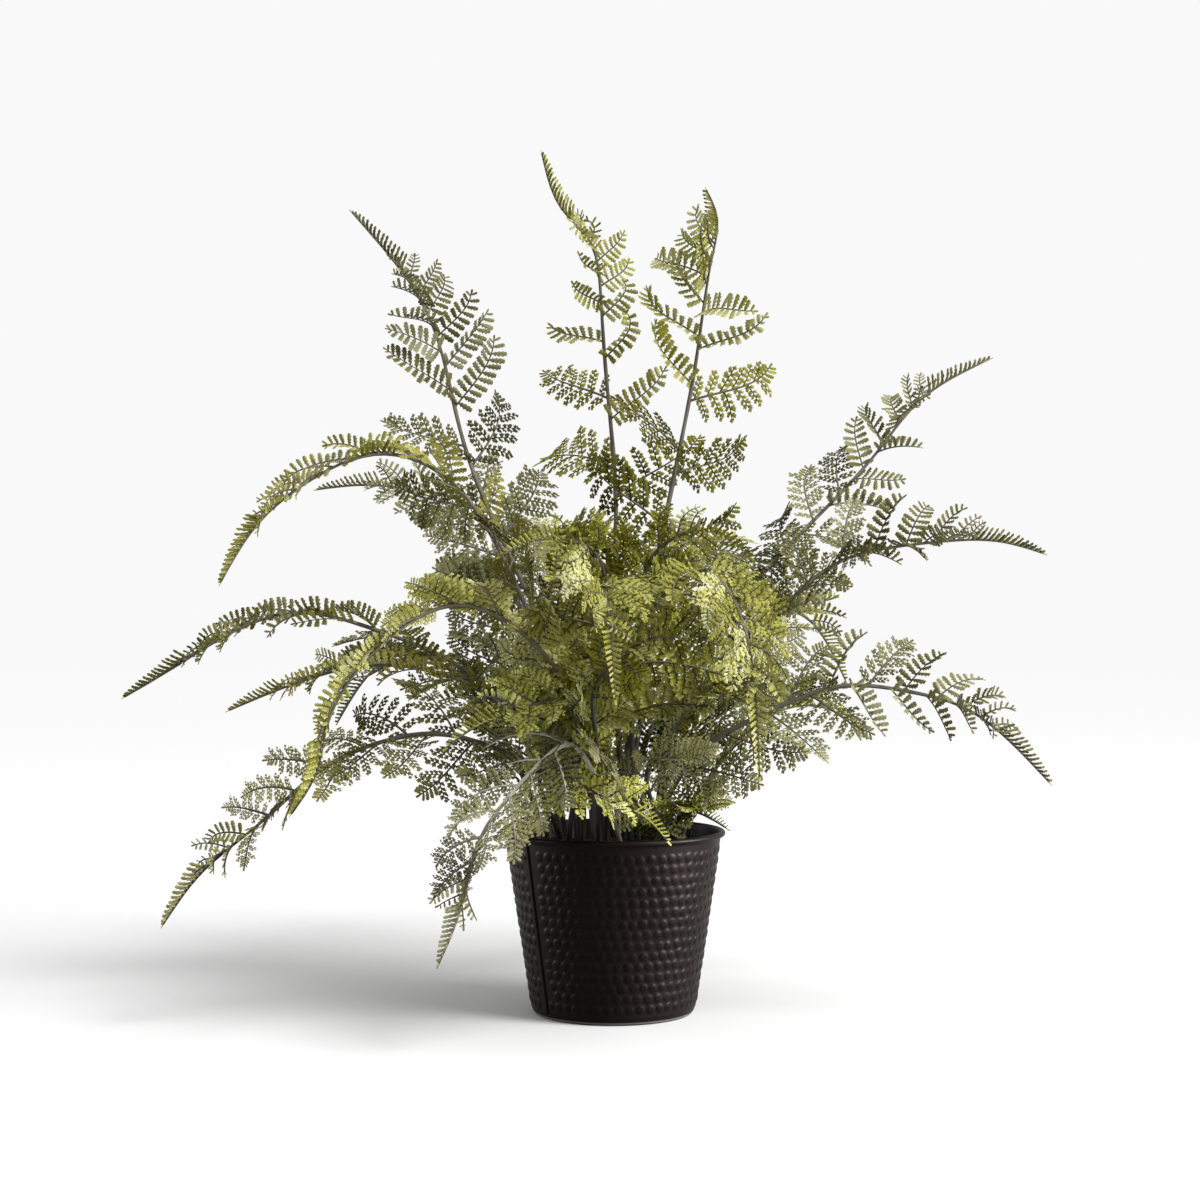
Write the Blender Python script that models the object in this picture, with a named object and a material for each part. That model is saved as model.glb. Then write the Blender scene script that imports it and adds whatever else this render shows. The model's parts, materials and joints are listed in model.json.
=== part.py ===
"""Potted lace fern: a tapered metal pot, its soil and thirty-two arching fronds.

Metres, +Z up. The origin is the centre of the pot's flat underside, and the plant's front faces -Y.
"""

import math
import random

import bmesh
import bpy
import numpy as np
from mathutils import Vector
from mathutils.bvhtree import BVHTree

# Pot: outer radii and heights.
POT_HEIGHT = 0.1085
BASE_RADIUS = 0.0488
TOP_RADIUS = 0.0650
SHEET = 0.0010
CORNER = 0.0030
ROLL_RADIUS = 0.0017
ROLL_STEPS = 8
POT_COLUMNS = 56
SEAM_ANGLE = math.radians(218.5)
SEAM_STEP = 0.0006
SEAM_WIDTH = math.radians(9.0)
PAN_FLANGE = 0.0060
# Soil.
SOIL_TOP = 0.1000
SOIL_DOME = 0.0015
SOIL_COLUMNS = 28
# Fit between pieces that touch.
GAP = 0.0003
# Fronds: half thickness of the stem at its foot and of the blade, both in metres.
STEM_HALF = 0.0017
TIP_HALF = 0.0006
STRAIGHT_FOOT = 0.030
STEM_STEP = 0.034
SAMPLES = 240
# Leaflet stations for a full-size frond: distance from the tip and leaflet length, in millimetres.
STATIONS = [(64, 24), (84, 30), (106, 36), (132, 42), (170, 55), (222, 62), (276, 60)]
BARE_STEM = 0.062
COMB_LENGTH = 0.054
COMB_HALF_WIDTH = 0.0085
FORWARD_ANGLE = math.radians(58.0)
DROOP = math.radians(14.0)
LEAFLET_FOOT = 0.0046
LEAFLET_HALF_THICK = 0.00055
LEAFLET_HALF_WIDTH = 0.17
CLEARANCE = 0.0007
LIFTS = (0.0, 14.0, -14.0, 28.0, -28.0, 42.0, -42.0)
SHRINKS = (1.0, 0.8, 0.6, 0.42)

# Each frond: the way its upper face looks at the middle of its blade, its size, and the points
# in millimetres that its stem runs through, from the foot in the soil to the tip.
FRONDS = {
    "frond_01": (
        (0.1, -1.0, 0.2),
        1.0,
        [
            (-11, 13, 84), (-12, 14, 104), (-22, 18, 185), (-42, 22, 231), (-68, 28, 283),
            (-92, 34, 343), (-106, 36, 400), (-123, 30, 438), (-159, 20, 482),
        ],
    ),
    "frond_02": (
        (-0.4, -0.9, 0.1),
        1.0,
        [
            (-4, 29, 84), (-4, 32, 104), (-1, 45, 209), (2, 58, 306), (-3, 60, 375), (-7, 55, 427),
            (-14, 50, 469), (-32, 45, 489), (-44, 40, 522),
        ],
    ),
    "frond_03": (
        (0.35, -0.9, 0.2),
        1.0,
        [
            (5, 4, 84), (6, 4, 104), (12, 6, 198), (23, 8, 256), (38, 6, 327), (50, 0, 392),
            (58, -6, 446), (62, -10, 472), (55, -20, 488),
        ],
    ),
    "frond_04": (
        (-0.2, -0.75, 0.6),
        1.0,
        [
            (9, 22, 84), (10, 24, 104), (20, 30, 159), (42, 45, 190), (86, 70, 251),
            (125, 90, 293), (169, 100, 339), (200, 100, 376), (243, 95, 401),
        ],
    ),
    "frond_05": (
        (0.0, -0.55, 0.85),
        0.95,
        [
            (23, 18, 84), (26, 20, 104), (36, 28, 160), (75, 34, 208), (115, 30, 252),
            (145, 30, 272), (184, 25, 280), (230, 15, 282), (259, 5, 274),
        ],
    ),
    "frond_06": (
        (0.1, -0.8, 0.6),
        0.92,
        [
            (22, -5, 84), (24, -6, 104), (47, -16, 152), (82, -25, 176), (110, -30, 189),
            (138, -34, 196), (175, -36, 192), (210, -40, 180), (251, -50, 141),
        ],
    ),
    "frond_07": (
        (0.2, -0.3, 0.9),
        1.0,
        [
            (9, -14, 84), (10, -16, 104), (2, -35, 188), (15, -60, 229), (32, -90, 253),
            (50, -120, 261), (64, -150, 244), (71, -170, 213), (74, -185, 155),
        ],
    ),
    "frond_08": (
        (-0.1, -0.4, 0.9),
        1.0,
        [
            (-18, -4, 84), (-20, -4, 104), (-27, -12, 181), (-48, -20, 234), (-70, -30, 281),
            (-96, -35, 316), (-135, -40, 331), (-178, -45, 314), (-207, -50, 288),
            (-226, -55, 256),
        ],
    ),
    "frond_09": (
        (-0.1, -0.35, 0.95),
        1.0,
        [
            (-31, 20, 84), (-34, 22, 104), (-42, 30, 154), (-72, 40, 187), (-103, 50, 209),
            (-150, 55, 228), (-196, 55, 238), (-235, 50, 227), (-271, 45, 205), (-302, 40, 186),
        ],
    ),
    "frond_10": (
        (-0.1, -0.4, 0.9),
        0.8,
        [
            (-29, 4, 84), (-32, 4, 104), (-47, 8, 158), (-81, 15, 191), (-108, 20, 202),
            (-148, 22, 206), (-194, 20, 195), (-233, 15, 179),
        ],
    ),
    "frond_11": (
        (-0.2, -0.1, 1.0),
        1.0,
        [
            (-7, -32, 84), (-8, -36, 104), (-15, -50, 162), (-28, -65, 198), (-52, -85, 228),
            (-85, -105, 243), (-111, -120, 234), (-137, -135, 210), (-153, -145, 181),
            (-158, -150, 156), (-171, -155, 133),
        ],
    ),
    "frond_12": (
        (-0.2, -0.6, 0.8),
        0.9,
        [
            (-36, -9, 84), (-40, -10, 104), (-40, -20, 140), (-67, -30, 158), (-101, -40, 168),
            (-137, -45, 163), (-170, -50, 147), (-203, -55, 118), (-235, -60, 91), (-257, -65, 61),
        ],
    ),
    "frond_13": (
        (-0.1, -0.6, 0.8),
        0.9,
        [
            (-18, 31, 84), (-20, 34, 104), (-35, 45, 172), (-58, 62, 240), (-83, 72, 300),
            (-119, 78, 315), (-158, 78, 319), (-187, 74, 316),
        ],
    ),
    "frond_14": (
        (-0.1, -0.8, 0.5),
        0.85,
        [
            (-27, 36, 84), (-30, 40, 104), (-40, 55, 155), (-54, 78, 214), (-79, 95, 258),
            (-112, 105, 268), (-144, 112, 278),
        ],
    ),
    "frond_15": (
        (-0.3, -0.6, 0.6),
        0.75,
        [
            (4, -45, 84), (4, -50, 104), (-10, -70, 144), (-24, -90, 165), (-38, -105, 159),
            (-59, -120, 137), (-74, -130, 114), (-82, -140, 83), (-94, -145, 52),
        ],
    ),
    "frond_16": (
        (0.1, -1.0, -0.1),
        0.8,
        [
            (-16, -20, 84), (-18, -22, 104), (-20, -34, 161), (-35, -48, 200), (-43, -62, 229),
            (-36, -76, 252), (-32, -86, 275),
        ],
    ),
    "frond_17": (
        (0.0, -0.6, 0.8),
        0.75,
        [
            (-23, -34, 84), (-26, -38, 104), (-21, -58, 149), (-24, -74, 183), (-37, -85, 189),
            (-55, -100, 184), (-75, -108, 177), (-92, -112, 165),
        ],
    ),
    "frond_18": (
        (0.1, -0.6, 0.8),
        0.6,
        [
            (-27, -23, 84), (-30, -26, 104), (-42, -48, 136), (-39, -64, 151), (-22, -78, 144),
            (-2, -86, 133), (15, -88, 126), (30, -88, 111),
        ],
    ),
    "frond_19": (
        (0.2, -0.5, 0.8),
        0.5,
        [
            (27, -27, 84), (30, -30, 104), (20, -40, 136), (23, -52, 152), (35, -62, 152),
            (48, -70, 143), (51, -73, 129),
        ],
    ),
    "frond_20": (
        (0.2, -0.4, 0.9),
        0.42,
        [
            (34, -13, 84), (36, -14, 104), (38, -22, 117), (45, -30, 122), (54, -38, 120),
            (65, -46, 114),
        ],
    ),
    "frond_21": (
        (-0.1, -0.9, 0.5),
        0.85,
        [
            (-5, -2, 84), (-6, -2, 104), (-6, -4, 168), (-2, -14, 231), (-9, -28, 271),
            (-27, -44, 281), (-47, -56, 280), (-65, -64, 271),
        ],
    ),
    "frond_22": (
        (0.1, -0.9, 0.4),
        0.85,
        [
            (13, -4, 84), (14, -4, 104), (11, -6, 165), (15, -14, 234), (22, -20, 270),
            (39, -28, 284), (59, -36, 285), (79, -44, 271),
        ],
    ),
    "frond_23": (
        (0.0, -0.2, 1.0),
        0.85,
        [
            (-4, -20, 84), (-4, -22, 104), (-4, -34, 153), (-8, -52, 194), (-10, -80, 234),
            (-9, -112, 253), (-5, -140, 247), (-2, -162, 222), (0, -172, 194),
        ],
    ),
    "frond_24": (
        (0.2, -0.6, 0.7),
        0.65,
        [
            (29, 4, 84), (32, 4, 104), (30, -8, 148), (45, -22, 182), (60, -36, 192),
            (76, -48, 187), (91, -56, 173),
        ],
    ),
    "frond_25": (
        (0.2, -0.9, 0.4),
        0.75,
        [
            (-11, -45, 84), (-12, -50, 104), (-10, -66, 161), (-12, -84, 191), (-4, -100, 208),
            (14, -112, 222), (33, -122, 226), (48, -130, 216),
        ],
    ),
    "frond_26": (
        (-0.2, 0.1, 1.0),
        1.0,
        [
            (-20, 42, 84), (-22, 46, 104), (-45, 95, 205), (-75, 155, 262), (-98, 215, 262),
            (-115, 265, 215),
        ],
    ),
    "frond_27": (
        (0.0, 0.1, 1.0),
        1.0,
        [
            (-6, 48, 84), (-6, 52, 104), (-12, 100, 220), (-20, 165, 285), (-26, 235, 280),
            (-30, 285, 222),
        ],
    ),
    "frond_28": (
        (0.1, 0.1, 1.0),
        1.0,
        [
            (7, 43, 84), (8, 46, 104), (28, 95, 220), (52, 155, 280), (73, 215, 278),
            (90, 265, 228),
        ],
    ),
    "frond_29": (
        (0.2, 0.1, 1.0),
        0.95,
        [
            (24, 39, 84), (26, 42, 104), (58, 85, 190), (100, 135, 235), (135, 178, 232),
            (163, 210, 190),
        ],
    ),
    "frond_30": (
        (-0.2, 0.1, 1.0),
        0.9,
        [
            (-40, 27, 84), (-43, 29, 104), (-75, 65, 170), (-118, 105, 208), (-155, 142, 203),
            (-186, 170, 163),
        ],
    ),
    "frond_31": (
        (0.0, 0.2, 1.0),
        0.85,
        [
            (15, 42, 84), (16, 45, 104), (26, 80, 150), (40, 135, 175), (50, 185, 148),
            (54, 212, 100),
        ],
    ),
    "frond_32": (
        (0.1, 0.1, 1.0),
        0.85,
        [
            (40, 22, 84), (43, 24, 104), (75, 55, 155), (118, 85, 178), (160, 110, 168),
            (195, 130, 130),
        ],
    ),
}

SLOPE = (TOP_RADIUS - BASE_RADIUS) / POT_HEIGHT


def clear_scene():
    for thing in list(bpy.data.objects):
        bpy.data.objects.remove(thing, do_unlink=True)


def paint(thing, name, colour, roughness, metallic=0.0):
    material = bpy.data.materials.new(name)
    material.use_nodes = True
    shader = material.node_tree.nodes["Principled BSDF"]
    shader.inputs["Base Color"].default_value = (*colour, 1.0)
    shader.inputs["Roughness"].default_value = roughness
    shader.inputs["Metallic"].default_value = metallic
    thing.data.materials.append(material)


def new_object(name, mesh_data):
    thing = bpy.data.objects.new(name, mesh_data)
    bpy.context.collection.objects.link(thing)
    return thing


def mesh_object(name, corners, faces):
    """A closed mesh object with its faces turned outwards."""
    shape = bmesh.new()
    verts = [shape.verts.new(c) for c in corners]
    for face in faces:
        shape.faces.new([verts[i] for i in face])
    bmesh.ops.recalc_face_normals(shape, faces=shape.faces[:])
    data = bpy.data.meshes.new(name)
    shape.to_mesh(data)
    shape.free()
    return new_object(name, data)


def wall_radius(height):
    """Outer radius of the pot's wall at a height."""
    return BASE_RADIUS + SLOPE * height


def turned(name, profile, angles, bump=None):
    """A body turned about Z from a closed outline of (radius, height); radius 0 is the axis."""
    corners = []
    rows = []
    for r, z in profile:
        if r == 0.0:
            rows.append([len(corners)] * len(angles))
            corners.append((0.0, 0.0, z))
            continue
        rows.append(list(range(len(corners), len(corners) + len(angles))))
        for a in angles:
            reach = r + (bump(r, z, a) if bump else 0.0)
            corners.append((reach * math.cos(a), reach * math.sin(a), z))
    faces = []
    for i in range(len(profile)):
        low = rows[i]
        high = rows[(i + 1) % len(profile)]
        for j in range(len(angles)):
            k = (j + 1) % len(angles)
            loop = [low[j], low[k], high[k], high[j]]
            loop = list(dict.fromkeys(loop))
            if len(loop) > 2:
                faces.append(loop)
    return mesh_object(name, corners, faces)


def even_angles(count):
    return [2 * math.pi * i / count for i in range(count)]


def seam_bump(r, z, angle):
    """The lap seam: the outer sheet stands proud of the wall and fades back into it."""
    outside = r > wall_radius(z) - SHEET / 2
    if not outside or z < CORNER or z > POT_HEIGHT - 3 * ROLL_RADIUS:
        return 0.0
    along = (angle - SEAM_ANGLE) / SEAM_WIDTH
    return SEAM_STEP * (1 - along) if 0 <= along < 1 else 0.0


def pot_wall():
    """Rolled sheet with a rounded foot, a lap seam and a rim rolled outwards."""
    middle = POT_HEIGHT - ROLL_RADIUS
    roll_x = wall_radius(middle) - SHEET + ROLL_RADIUS
    profile = [(BASE_RADIUS - CORNER, 0.0)]
    for turn in (30.0, 60.0, 90.0):
        a = math.radians(turn)
        r = BASE_RADIUS - CORNER + CORNER * math.sin(a)
        profile.append((r, CORNER * (1 - math.cos(a))))
    low = middle - 1.5 * ROLL_RADIUS
    profile.append((wall_radius(low - 0.004), low - 0.004))
    profile.append((wall_radius(low), low))
    for i in range(ROLL_STEPS):
        a = math.radians(-110.0 + 290.0 * i / (ROLL_STEPS - 1))
        profile.append((roll_x + ROLL_RADIUS * math.cos(a), middle + ROLL_RADIUS * math.sin(a)))
    profile.append((wall_radius(0.010) - SHEET, 0.010))
    profile.append((BASE_RADIUS - CORNER, 0.0012))
    seam = [SEAM_ANGLE - 0.01, SEAM_ANGLE, SEAM_ANGLE + SEAM_WIDTH]
    clear = [a for a in even_angles(POT_COLUMNS) if not seam[0] - 0.05 < a < seam[-1] + 0.05]
    wall = turned("pot_wall", profile, sorted(clear + seam), seam_bump)
    wall.data.shade_smooth()
    wall.data.set_sharp_from_angle(angle=math.radians(35.0))
    paint(wall, "espresso_metal", (0.020, 0.015, 0.014), 0.42, 0.6)
    return wall


def base_pan():
    """The flat bottom: a shallow pan whose flange stands inside the wall's foot."""
    outer = BASE_RADIUS - CORNER - GAP
    top = wall_radius(PAN_FLANGE) - SHEET - 2 * GAP
    lift = 0.0018
    profile = [
        (0.0, 0.0),
        (outer, 0.0),
        (outer, SHEET),
        (outer + lift, PAN_FLANGE),
        (outer + lift - SHEET, PAN_FLANGE),
        (outer - SHEET, SHEET),
        (0.0, SHEET),
    ]
    pan = turned("pot_base", profile, even_angles(POT_COLUMNS))
    paint(pan, "base_metal", (0.030, 0.024, 0.022), 0.5, 0.6)
    return pan


def soil():
    """Soil that fills the pot to just below the rim, before the stems' sockets are cut."""
    inner = BASE_RADIUS - CORNER - 2 * GAP - SHEET
    step = PAN_FLANGE + 2 * GAP
    edge = SOIL_TOP - SOIL_DOME
    profile = [
        (0.0, SHEET + GAP),
        (inner, SHEET + GAP),
        (inner + 0.0017, PAN_FLANGE),
        (inner + 0.0017, step),
        (wall_radius(step) - SHEET - 3 * GAP, step),
        (wall_radius(0.012) - SHEET - GAP, 0.012),
        (wall_radius(edge) - SHEET - GAP, edge),
        (0.6 * TOP_RADIUS, SOIL_TOP),
        (0.0, SOIL_TOP),
    ]
    body = turned("soil", profile, even_angles(SOIL_COLUMNS))
    paint(body, "dark_soil", (0.020, 0.016, 0.012), 0.95)
    return body


def unit(v):
    return v / np.linalg.norm(v)


def smooth_path(points):
    """Even samples along a natural cubic spline through the points, with its length."""
    p = np.array(points) / 1000.0
    h = np.linalg.norm(np.diff(p, axis=0), axis=1) ** 0.5
    knots = np.concatenate([[0.0], np.cumsum(h)])
    n = len(p)
    left = np.eye(n)
    right = np.zeros((n, 3))
    for i in range(1, n - 1):
        left[i, i - 1 : i + 2] = h[i - 1], 2 * (h[i - 1] + h[i]), h[i]
        right[i] = 6 * ((p[i + 1] - p[i]) / h[i] - (p[i] - p[i - 1]) / h[i - 1])
    bend = np.linalg.solve(left, right)
    t = np.linspace(0.0, knots[-1], 4 * SAMPLES)
    k = np.clip(np.searchsorted(knots, t) - 1, 0, n - 2)
    a = (knots[k + 1] - t)[:, None]
    b = (t - knots[k])[:, None]
    g = h[k][:, None]
    curve = (bend[k] * a**3 + bend[k + 1] * b**3) / (6 * g)
    curve += (p[k] / g - bend[k] * g / 6) * a + (p[k + 1] / g - bend[k + 1] * g / 6) * b
    run = np.concatenate([[0.0], np.cumsum(np.linalg.norm(np.diff(curve, axis=0), axis=1))])
    even = np.linspace(0.0, run[-1], SAMPLES)
    return np.stack([np.interp(even, run, curve[:, i]) for i in range(3)], axis=1), run[-1]


class Stem:
    """A frond's midrib: its path, and a frame carried along it without twist."""

    def __init__(self, face, points):
        self.path, self.length = smooth_path(points)
        foot = int(SAMPLES * STRAIGHT_FOOT / self.length)
        self.along = np.gradient(self.path, axis=0)
        self.along[: foot + 1] = self.path[foot] - self.path[0]
        self.along /= np.linalg.norm(self.along, axis=1)[:, None]
        self.face = np.zeros_like(self.path)
        middle = int(0.66 * SAMPLES)
        carried = np.array(face)
        for i in range(middle, SAMPLES):
            carried = self.level(carried, i)
        carried = self.face[middle]
        for i in range(middle - 1, -1, -1):
            carried = self.level(carried, i)

    def level(self, carried, i):
        self.face[i] = unit(carried - carried.dot(self.along[i]) * self.along[i])
        return self.face[i]

    def at(self, distance):
        """Point, direction, side and upper face at a distance from the foot."""
        i = min(max(int(round(distance / self.length * (SAMPLES - 1))), 0), SAMPLES - 1)
        side = np.cross(self.along[i], self.face[i])
        return self.path[i], self.along[i], side, self.face[i]

    def half(self, distance):
        """Half thickness of the stem, which tapers from its foot to its tip."""
        part = min(max(distance - STRAIGHT_FOOT, 0.0) / (self.length - STRAIGHT_FOOT), 1.0)
        return STEM_HALF + (TIP_HALF - STEM_HALF) * part


def ring(place, half_wide, half_thick):
    """Four corners of a stem's section, in order round it from its upper left."""
    point, _, side, face = place
    corners = []
    for across, up in ((1, 1), (-1, 1), (-1, -1), (1, -1)):
        corners.append(point + across * half_wide * side + up * half_thick * face)
    return corners


def leaflet_places(stem, size):
    """Distances from the foot and lengths of the leaflet pairs, lowest pair first."""
    found = []
    for from_tip, length in reversed(STATIONS):
        distance = stem.length - size * from_tip / 1000.0
        if distance > BARE_STEM:
            found.append((distance, size * length / 1000.0))
    return found


def plan_rings(stem, size):
    """Sections of the stem as (distance, half width, half thickness), and the leaflets' rings."""
    rings = [(0.0, STEM_HALF, STEM_HALF), (STRAIGHT_FOOT, STEM_HALF, STEM_HALF)]
    seats = []
    for distance, length in leaflet_places(stem, size):
        low = distance - LEAFLET_FOOT / 2
        gap = low - rings[-1][0]
        extra = int(gap / STEM_STEP)
        start = rings[-1][0]
        for i in range(extra):
            d = start + gap * (i + 1) / (extra + 1)
            rings.append((d, stem.half(d), stem.half(d)))
        seats.append((len(rings), length))
        for d in (low, low + LEAFLET_FOOT):
            rings.append((d, stem.half(d), stem.half(d)))
    return rings, seats


def comb_rings(stem, size, width):
    """The flat tip of a frond, which stands for its comb of small teeth."""
    comb = COMB_LENGTH * size
    half = COMB_HALF_WIDTH * size * width
    rings = [(stem.length - 1.12 * comb, stem.half(stem.length), TIP_HALF)]
    for part in (1.0, 0.5, 0.0):
        wide = TIP_HALF + max(half - TIP_HALF, 0.0) * part
        rings.append((stem.length - part * comb, wide, TIP_HALF))
    return rings


def tube_faces(count):
    """Side faces of a four-sided tube of sections, and its two end caps."""
    faces = [(3, 2, 1, 0), tuple(4 * (count - 1) + i for i in range(4))]
    for r in range(count - 1):
        for i in range(4):
            j = (i + 1) % 4
            faces.append((4 * r + i, 4 * r + j, 4 * r + 4 + j, 4 * r + 4 + i))
    return faces


def tree_of(corners, faces):
    return BVHTree.FromPolygons([Vector(c) for c in corners], faces)


class Obstacles:
    """Everything that a leaflet has to stay clear of."""

    def __init__(self):
        self.parts = {}

    def add(self, name, corners, faces):
        self.parts.setdefault(name, []).append((corners, faces))

    def tree(self, without):
        corners = []
        faces = []
        for name, bodies in self.parts.items():
            if name == without:
                continue
            for more, sides in bodies:
                faces += [tuple(i + len(corners) for i in f) for f in sides]
                corners += list(more)
        return tree_of(corners, faces)


def leaflet_frame(stem, distance, side, lift):
    point, along, across, face = stem.at(distance)
    droop = DROOP + math.radians(lift)
    out = side * math.cos(droop) * across - math.sin(droop) * face
    way = math.cos(FORWARD_ANGLE) * along + math.sin(FORWARD_ANGLE) * out
    wide = unit(along - along.dot(way) * way)
    return point, way, wide, np.cross(way, wide)


def section(centre, wide, normal, half_wide, half_thick):
    """Four corners of a leaflet's section."""
    corners = []
    for w, n in ((-1, 1), (1, 1), (1, -1), (-1, -1)):
        corners.append(centre + w * half_wide * wide + n * half_thick * normal)
    return corners


def leaflet_shape(frame, length, spare=0.0):
    """A leaflet's widest section and its end; spare thickens it for the clearance test."""
    point, way, wide, normal = frame
    half_wide = LEAFLET_HALF_WIDTH * length + spare
    half_thick = LEAFLET_HALF_THICK + spare
    middle = section(point + 0.45 * length * way, wide, normal, half_wide, half_thick)
    return middle, point + (length + spare) * way - 0.05 * length * normal


def leaflet_probe(frame, length, start):
    """A closed body a little larger than the leaflet, from a part of its length outwards."""
    point, way, wide, normal = frame
    middle, end = leaflet_shape(frame, length, CLEARANCE)
    half = LEAFLET_HALF_WIDTH * length * start / 0.45 + CLEARANCE
    near = section(point + start * length * way, wide, normal, half, 2 * CLEARANCE)
    faces = [(0, 1, 2, 3)]
    for i in range(4):
        j = (i + 1) % 4
        faces.append((i, j, 4 + j, 4 + i))
        faces.append((4 + i, 4 + j, 8))
    return near + middle + [end], faces


def fit_leaflet(stem, distance, side, length, others, own, own_stem):
    """The first attitude and length at which a leaflet touches nothing, or None."""
    for shrink in SHRINKS:
        for lift in LIFTS:
            frame = leaflet_frame(stem, distance, side, lift)
            size = length * shrink
            probe = leaflet_probe(frame, size, 0.12)
            tree = tree_of(*probe)
            far = tree_of(*leaflet_probe(frame, size, 0.35))
            hit = tree.overlap(others) or far.overlap(own_stem)
            if not hit and not any(tree.overlap(o) for o in own):
                return frame, size, tree, probe
    return None


def frond_body(name, stem, rings, leaflets):
    """The frond as one closed body: the stem's tube with leaflets drawn out of its sides."""
    corners = []
    for distance, half_wide, half_thick in rings:
        corners += ring(stem.at(distance), half_wide, half_thick)
    faces = tube_faces(len(rings))
    for index, side, frame, length in leaflets:
        i, j = (3, 0) if side > 0 else (1, 2)
        foot = (4 * index + j, 4 * index + 4 + j, 4 * index + 4 + i, 4 * index + i)
        drop = {f for f in faces if set(f) == set(foot)}
        faces = [f for f in faces if f not in drop]
        middle, end = leaflet_shape(frame, length)
        start = len(corners)
        corners += middle + [end]
        order = match_foot([corners[v] for v in foot], middle)
        for a in range(4):
            b = (a + 1) % 4
            faces.append((foot[a], foot[b], start + order[b], start + order[a]))
            faces.append((start + order[a], start + order[b], start + 4))
    return mesh_object(name, corners, faces)


def match_foot(foot, middle):
    """The order of the middle section's corners that joins each to the nearest foot corner."""
    best = None
    for turn in range(4):
        for way in (1, -1):
            order = [(turn + way * i) % 4 for i in range(4)]
            centre_f = sum(foot) / 4
            centre_m = sum(middle) / 4
            cost = 0.0
            for i in range(4):
                a = unit(foot[i] - centre_f)
                b = unit(middle[order[i]] - centre_m)
                cost += float(np.dot(a - b, a - b))
            if best is None or cost < best[0]:
                best = (cost, order)
    return best[1]


def socket_cutter(stems):
    """One prism per stem, a gap larger than its foot, that cuts the sockets in the soil."""
    corners = []
    faces = []
    for stem in stems.values():
        for distance in (0.0, STRAIGHT_FOOT):
            point, along, side, face = stem.at(distance)
            if distance == 0.0:
                point = point - GAP * along
            place = (point, along, side, face)
            corners += ring(place, STEM_HALF + GAP, STEM_HALF + GAP)
        faces += [tuple(i + len(corners) - 8 for i in f) for f in tube_faces(2)]
    cutter = mesh_object("socket_cutter", corners, faces)
    cutter.hide_render = True
    cutter.display_type = "WIRE"
    return cutter


def cut_sockets(body, stems):
    cut = body.modifiers.new("sockets", "BOOLEAN")
    cut.operation = "DIFFERENCE"
    cut.solver = "EXACT"
    cut.object = socket_cutter(stems)


def mesh_parts(thing):
    corners = [np.array(v.co) for v in thing.data.vertices]
    return corners, [tuple(p.vertices) for p in thing.data.polygons]


def tube(stem, rings, spare=0.0):
    """Corners and faces of a stem's tube through its sections."""
    corners = []
    for distance, half_wide, half_thick in rings:
        corners += ring(stem.at(distance), half_wide + spare, half_thick + spare)
    return corners, tube_faces(len(rings))


def widest_comb(stem, size, others):
    """The widest of a few comb widths that clears everything else."""
    for width in (1.0, 0.7, 0.45, 0.2, 0.0):
        comb = comb_rings(stem, size, width)
        if not tree_of(*tube(stem, comb, CLEARANCE)).overlap(others):
            break
    return comb


def grow_leaflets(name, stem, rings, seats, obstacles):
    """A frond's leaflets, from the foot up, each clear of all that already stands."""
    others = obstacles.tree(name)
    own_stem = tree_of(*tube(stem, rings))
    own = []
    leaflets = []
    for index, length in seats:
        distance = rings[index][0] + LEAFLET_FOOT / 2
        for side in (1, -1):
            fit = fit_leaflet(stem, distance, side, length, others, own, own_stem)
            if fit:
                frame, fitted, tree, probe = fit
                own.append(tree)
                obstacles.add(name, *probe)
                leaflets.append((index, side, frame, fitted))
    return leaflets


def grow_fronds(stems, obstacles):
    """Stems stand first, then their flat tips, and then each frond's leaflets in turn."""
    plans = {name: plan_rings(stems[name], FRONDS[name][1]) for name in FRONDS}
    for name, (rings, _) in plans.items():
        obstacles.add(name, *tube(stems[name], rings, CLEARANCE))
    for name, (rings, _) in plans.items():
        comb = widest_comb(stems[name], FRONDS[name][1], obstacles.tree(name))
        obstacles.add(name, *tube(stems[name], comb, CLEARANCE))
        rings += comb
    for name, (rings, seats) in plans.items():
        leaflets = grow_leaflets(name, stems[name], rings, seats, obstacles)
        frond = frond_body(name, stems[name], rings, leaflets)
        shade = random.Random(name).uniform(0.8, 1.2)
        paint(frond, name + "_leaf", (0.13 * shade, 0.15 * shade, 0.035), 0.6)


def build():
    clear_scene()
    stems = {name: Stem(face, points) for name, (face, _, points) in FRONDS.items()}
    wall = pot_wall()
    base_pan()
    body = soil()
    obstacles = Obstacles()
    obstacles.add("pot", *mesh_parts(wall))
    obstacles.add("soil", *mesh_parts(body))
    cut_sockets(body, stems)
    grow_fronds(stems, obstacles)


build()
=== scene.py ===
"""Looks of the potted lace fern: cut fronds, a hammered pot and soil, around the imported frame."""

import json
import random
from functools import cached_property
from math import atan2, cos, hypot, pi, radians, sin, sqrt

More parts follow.
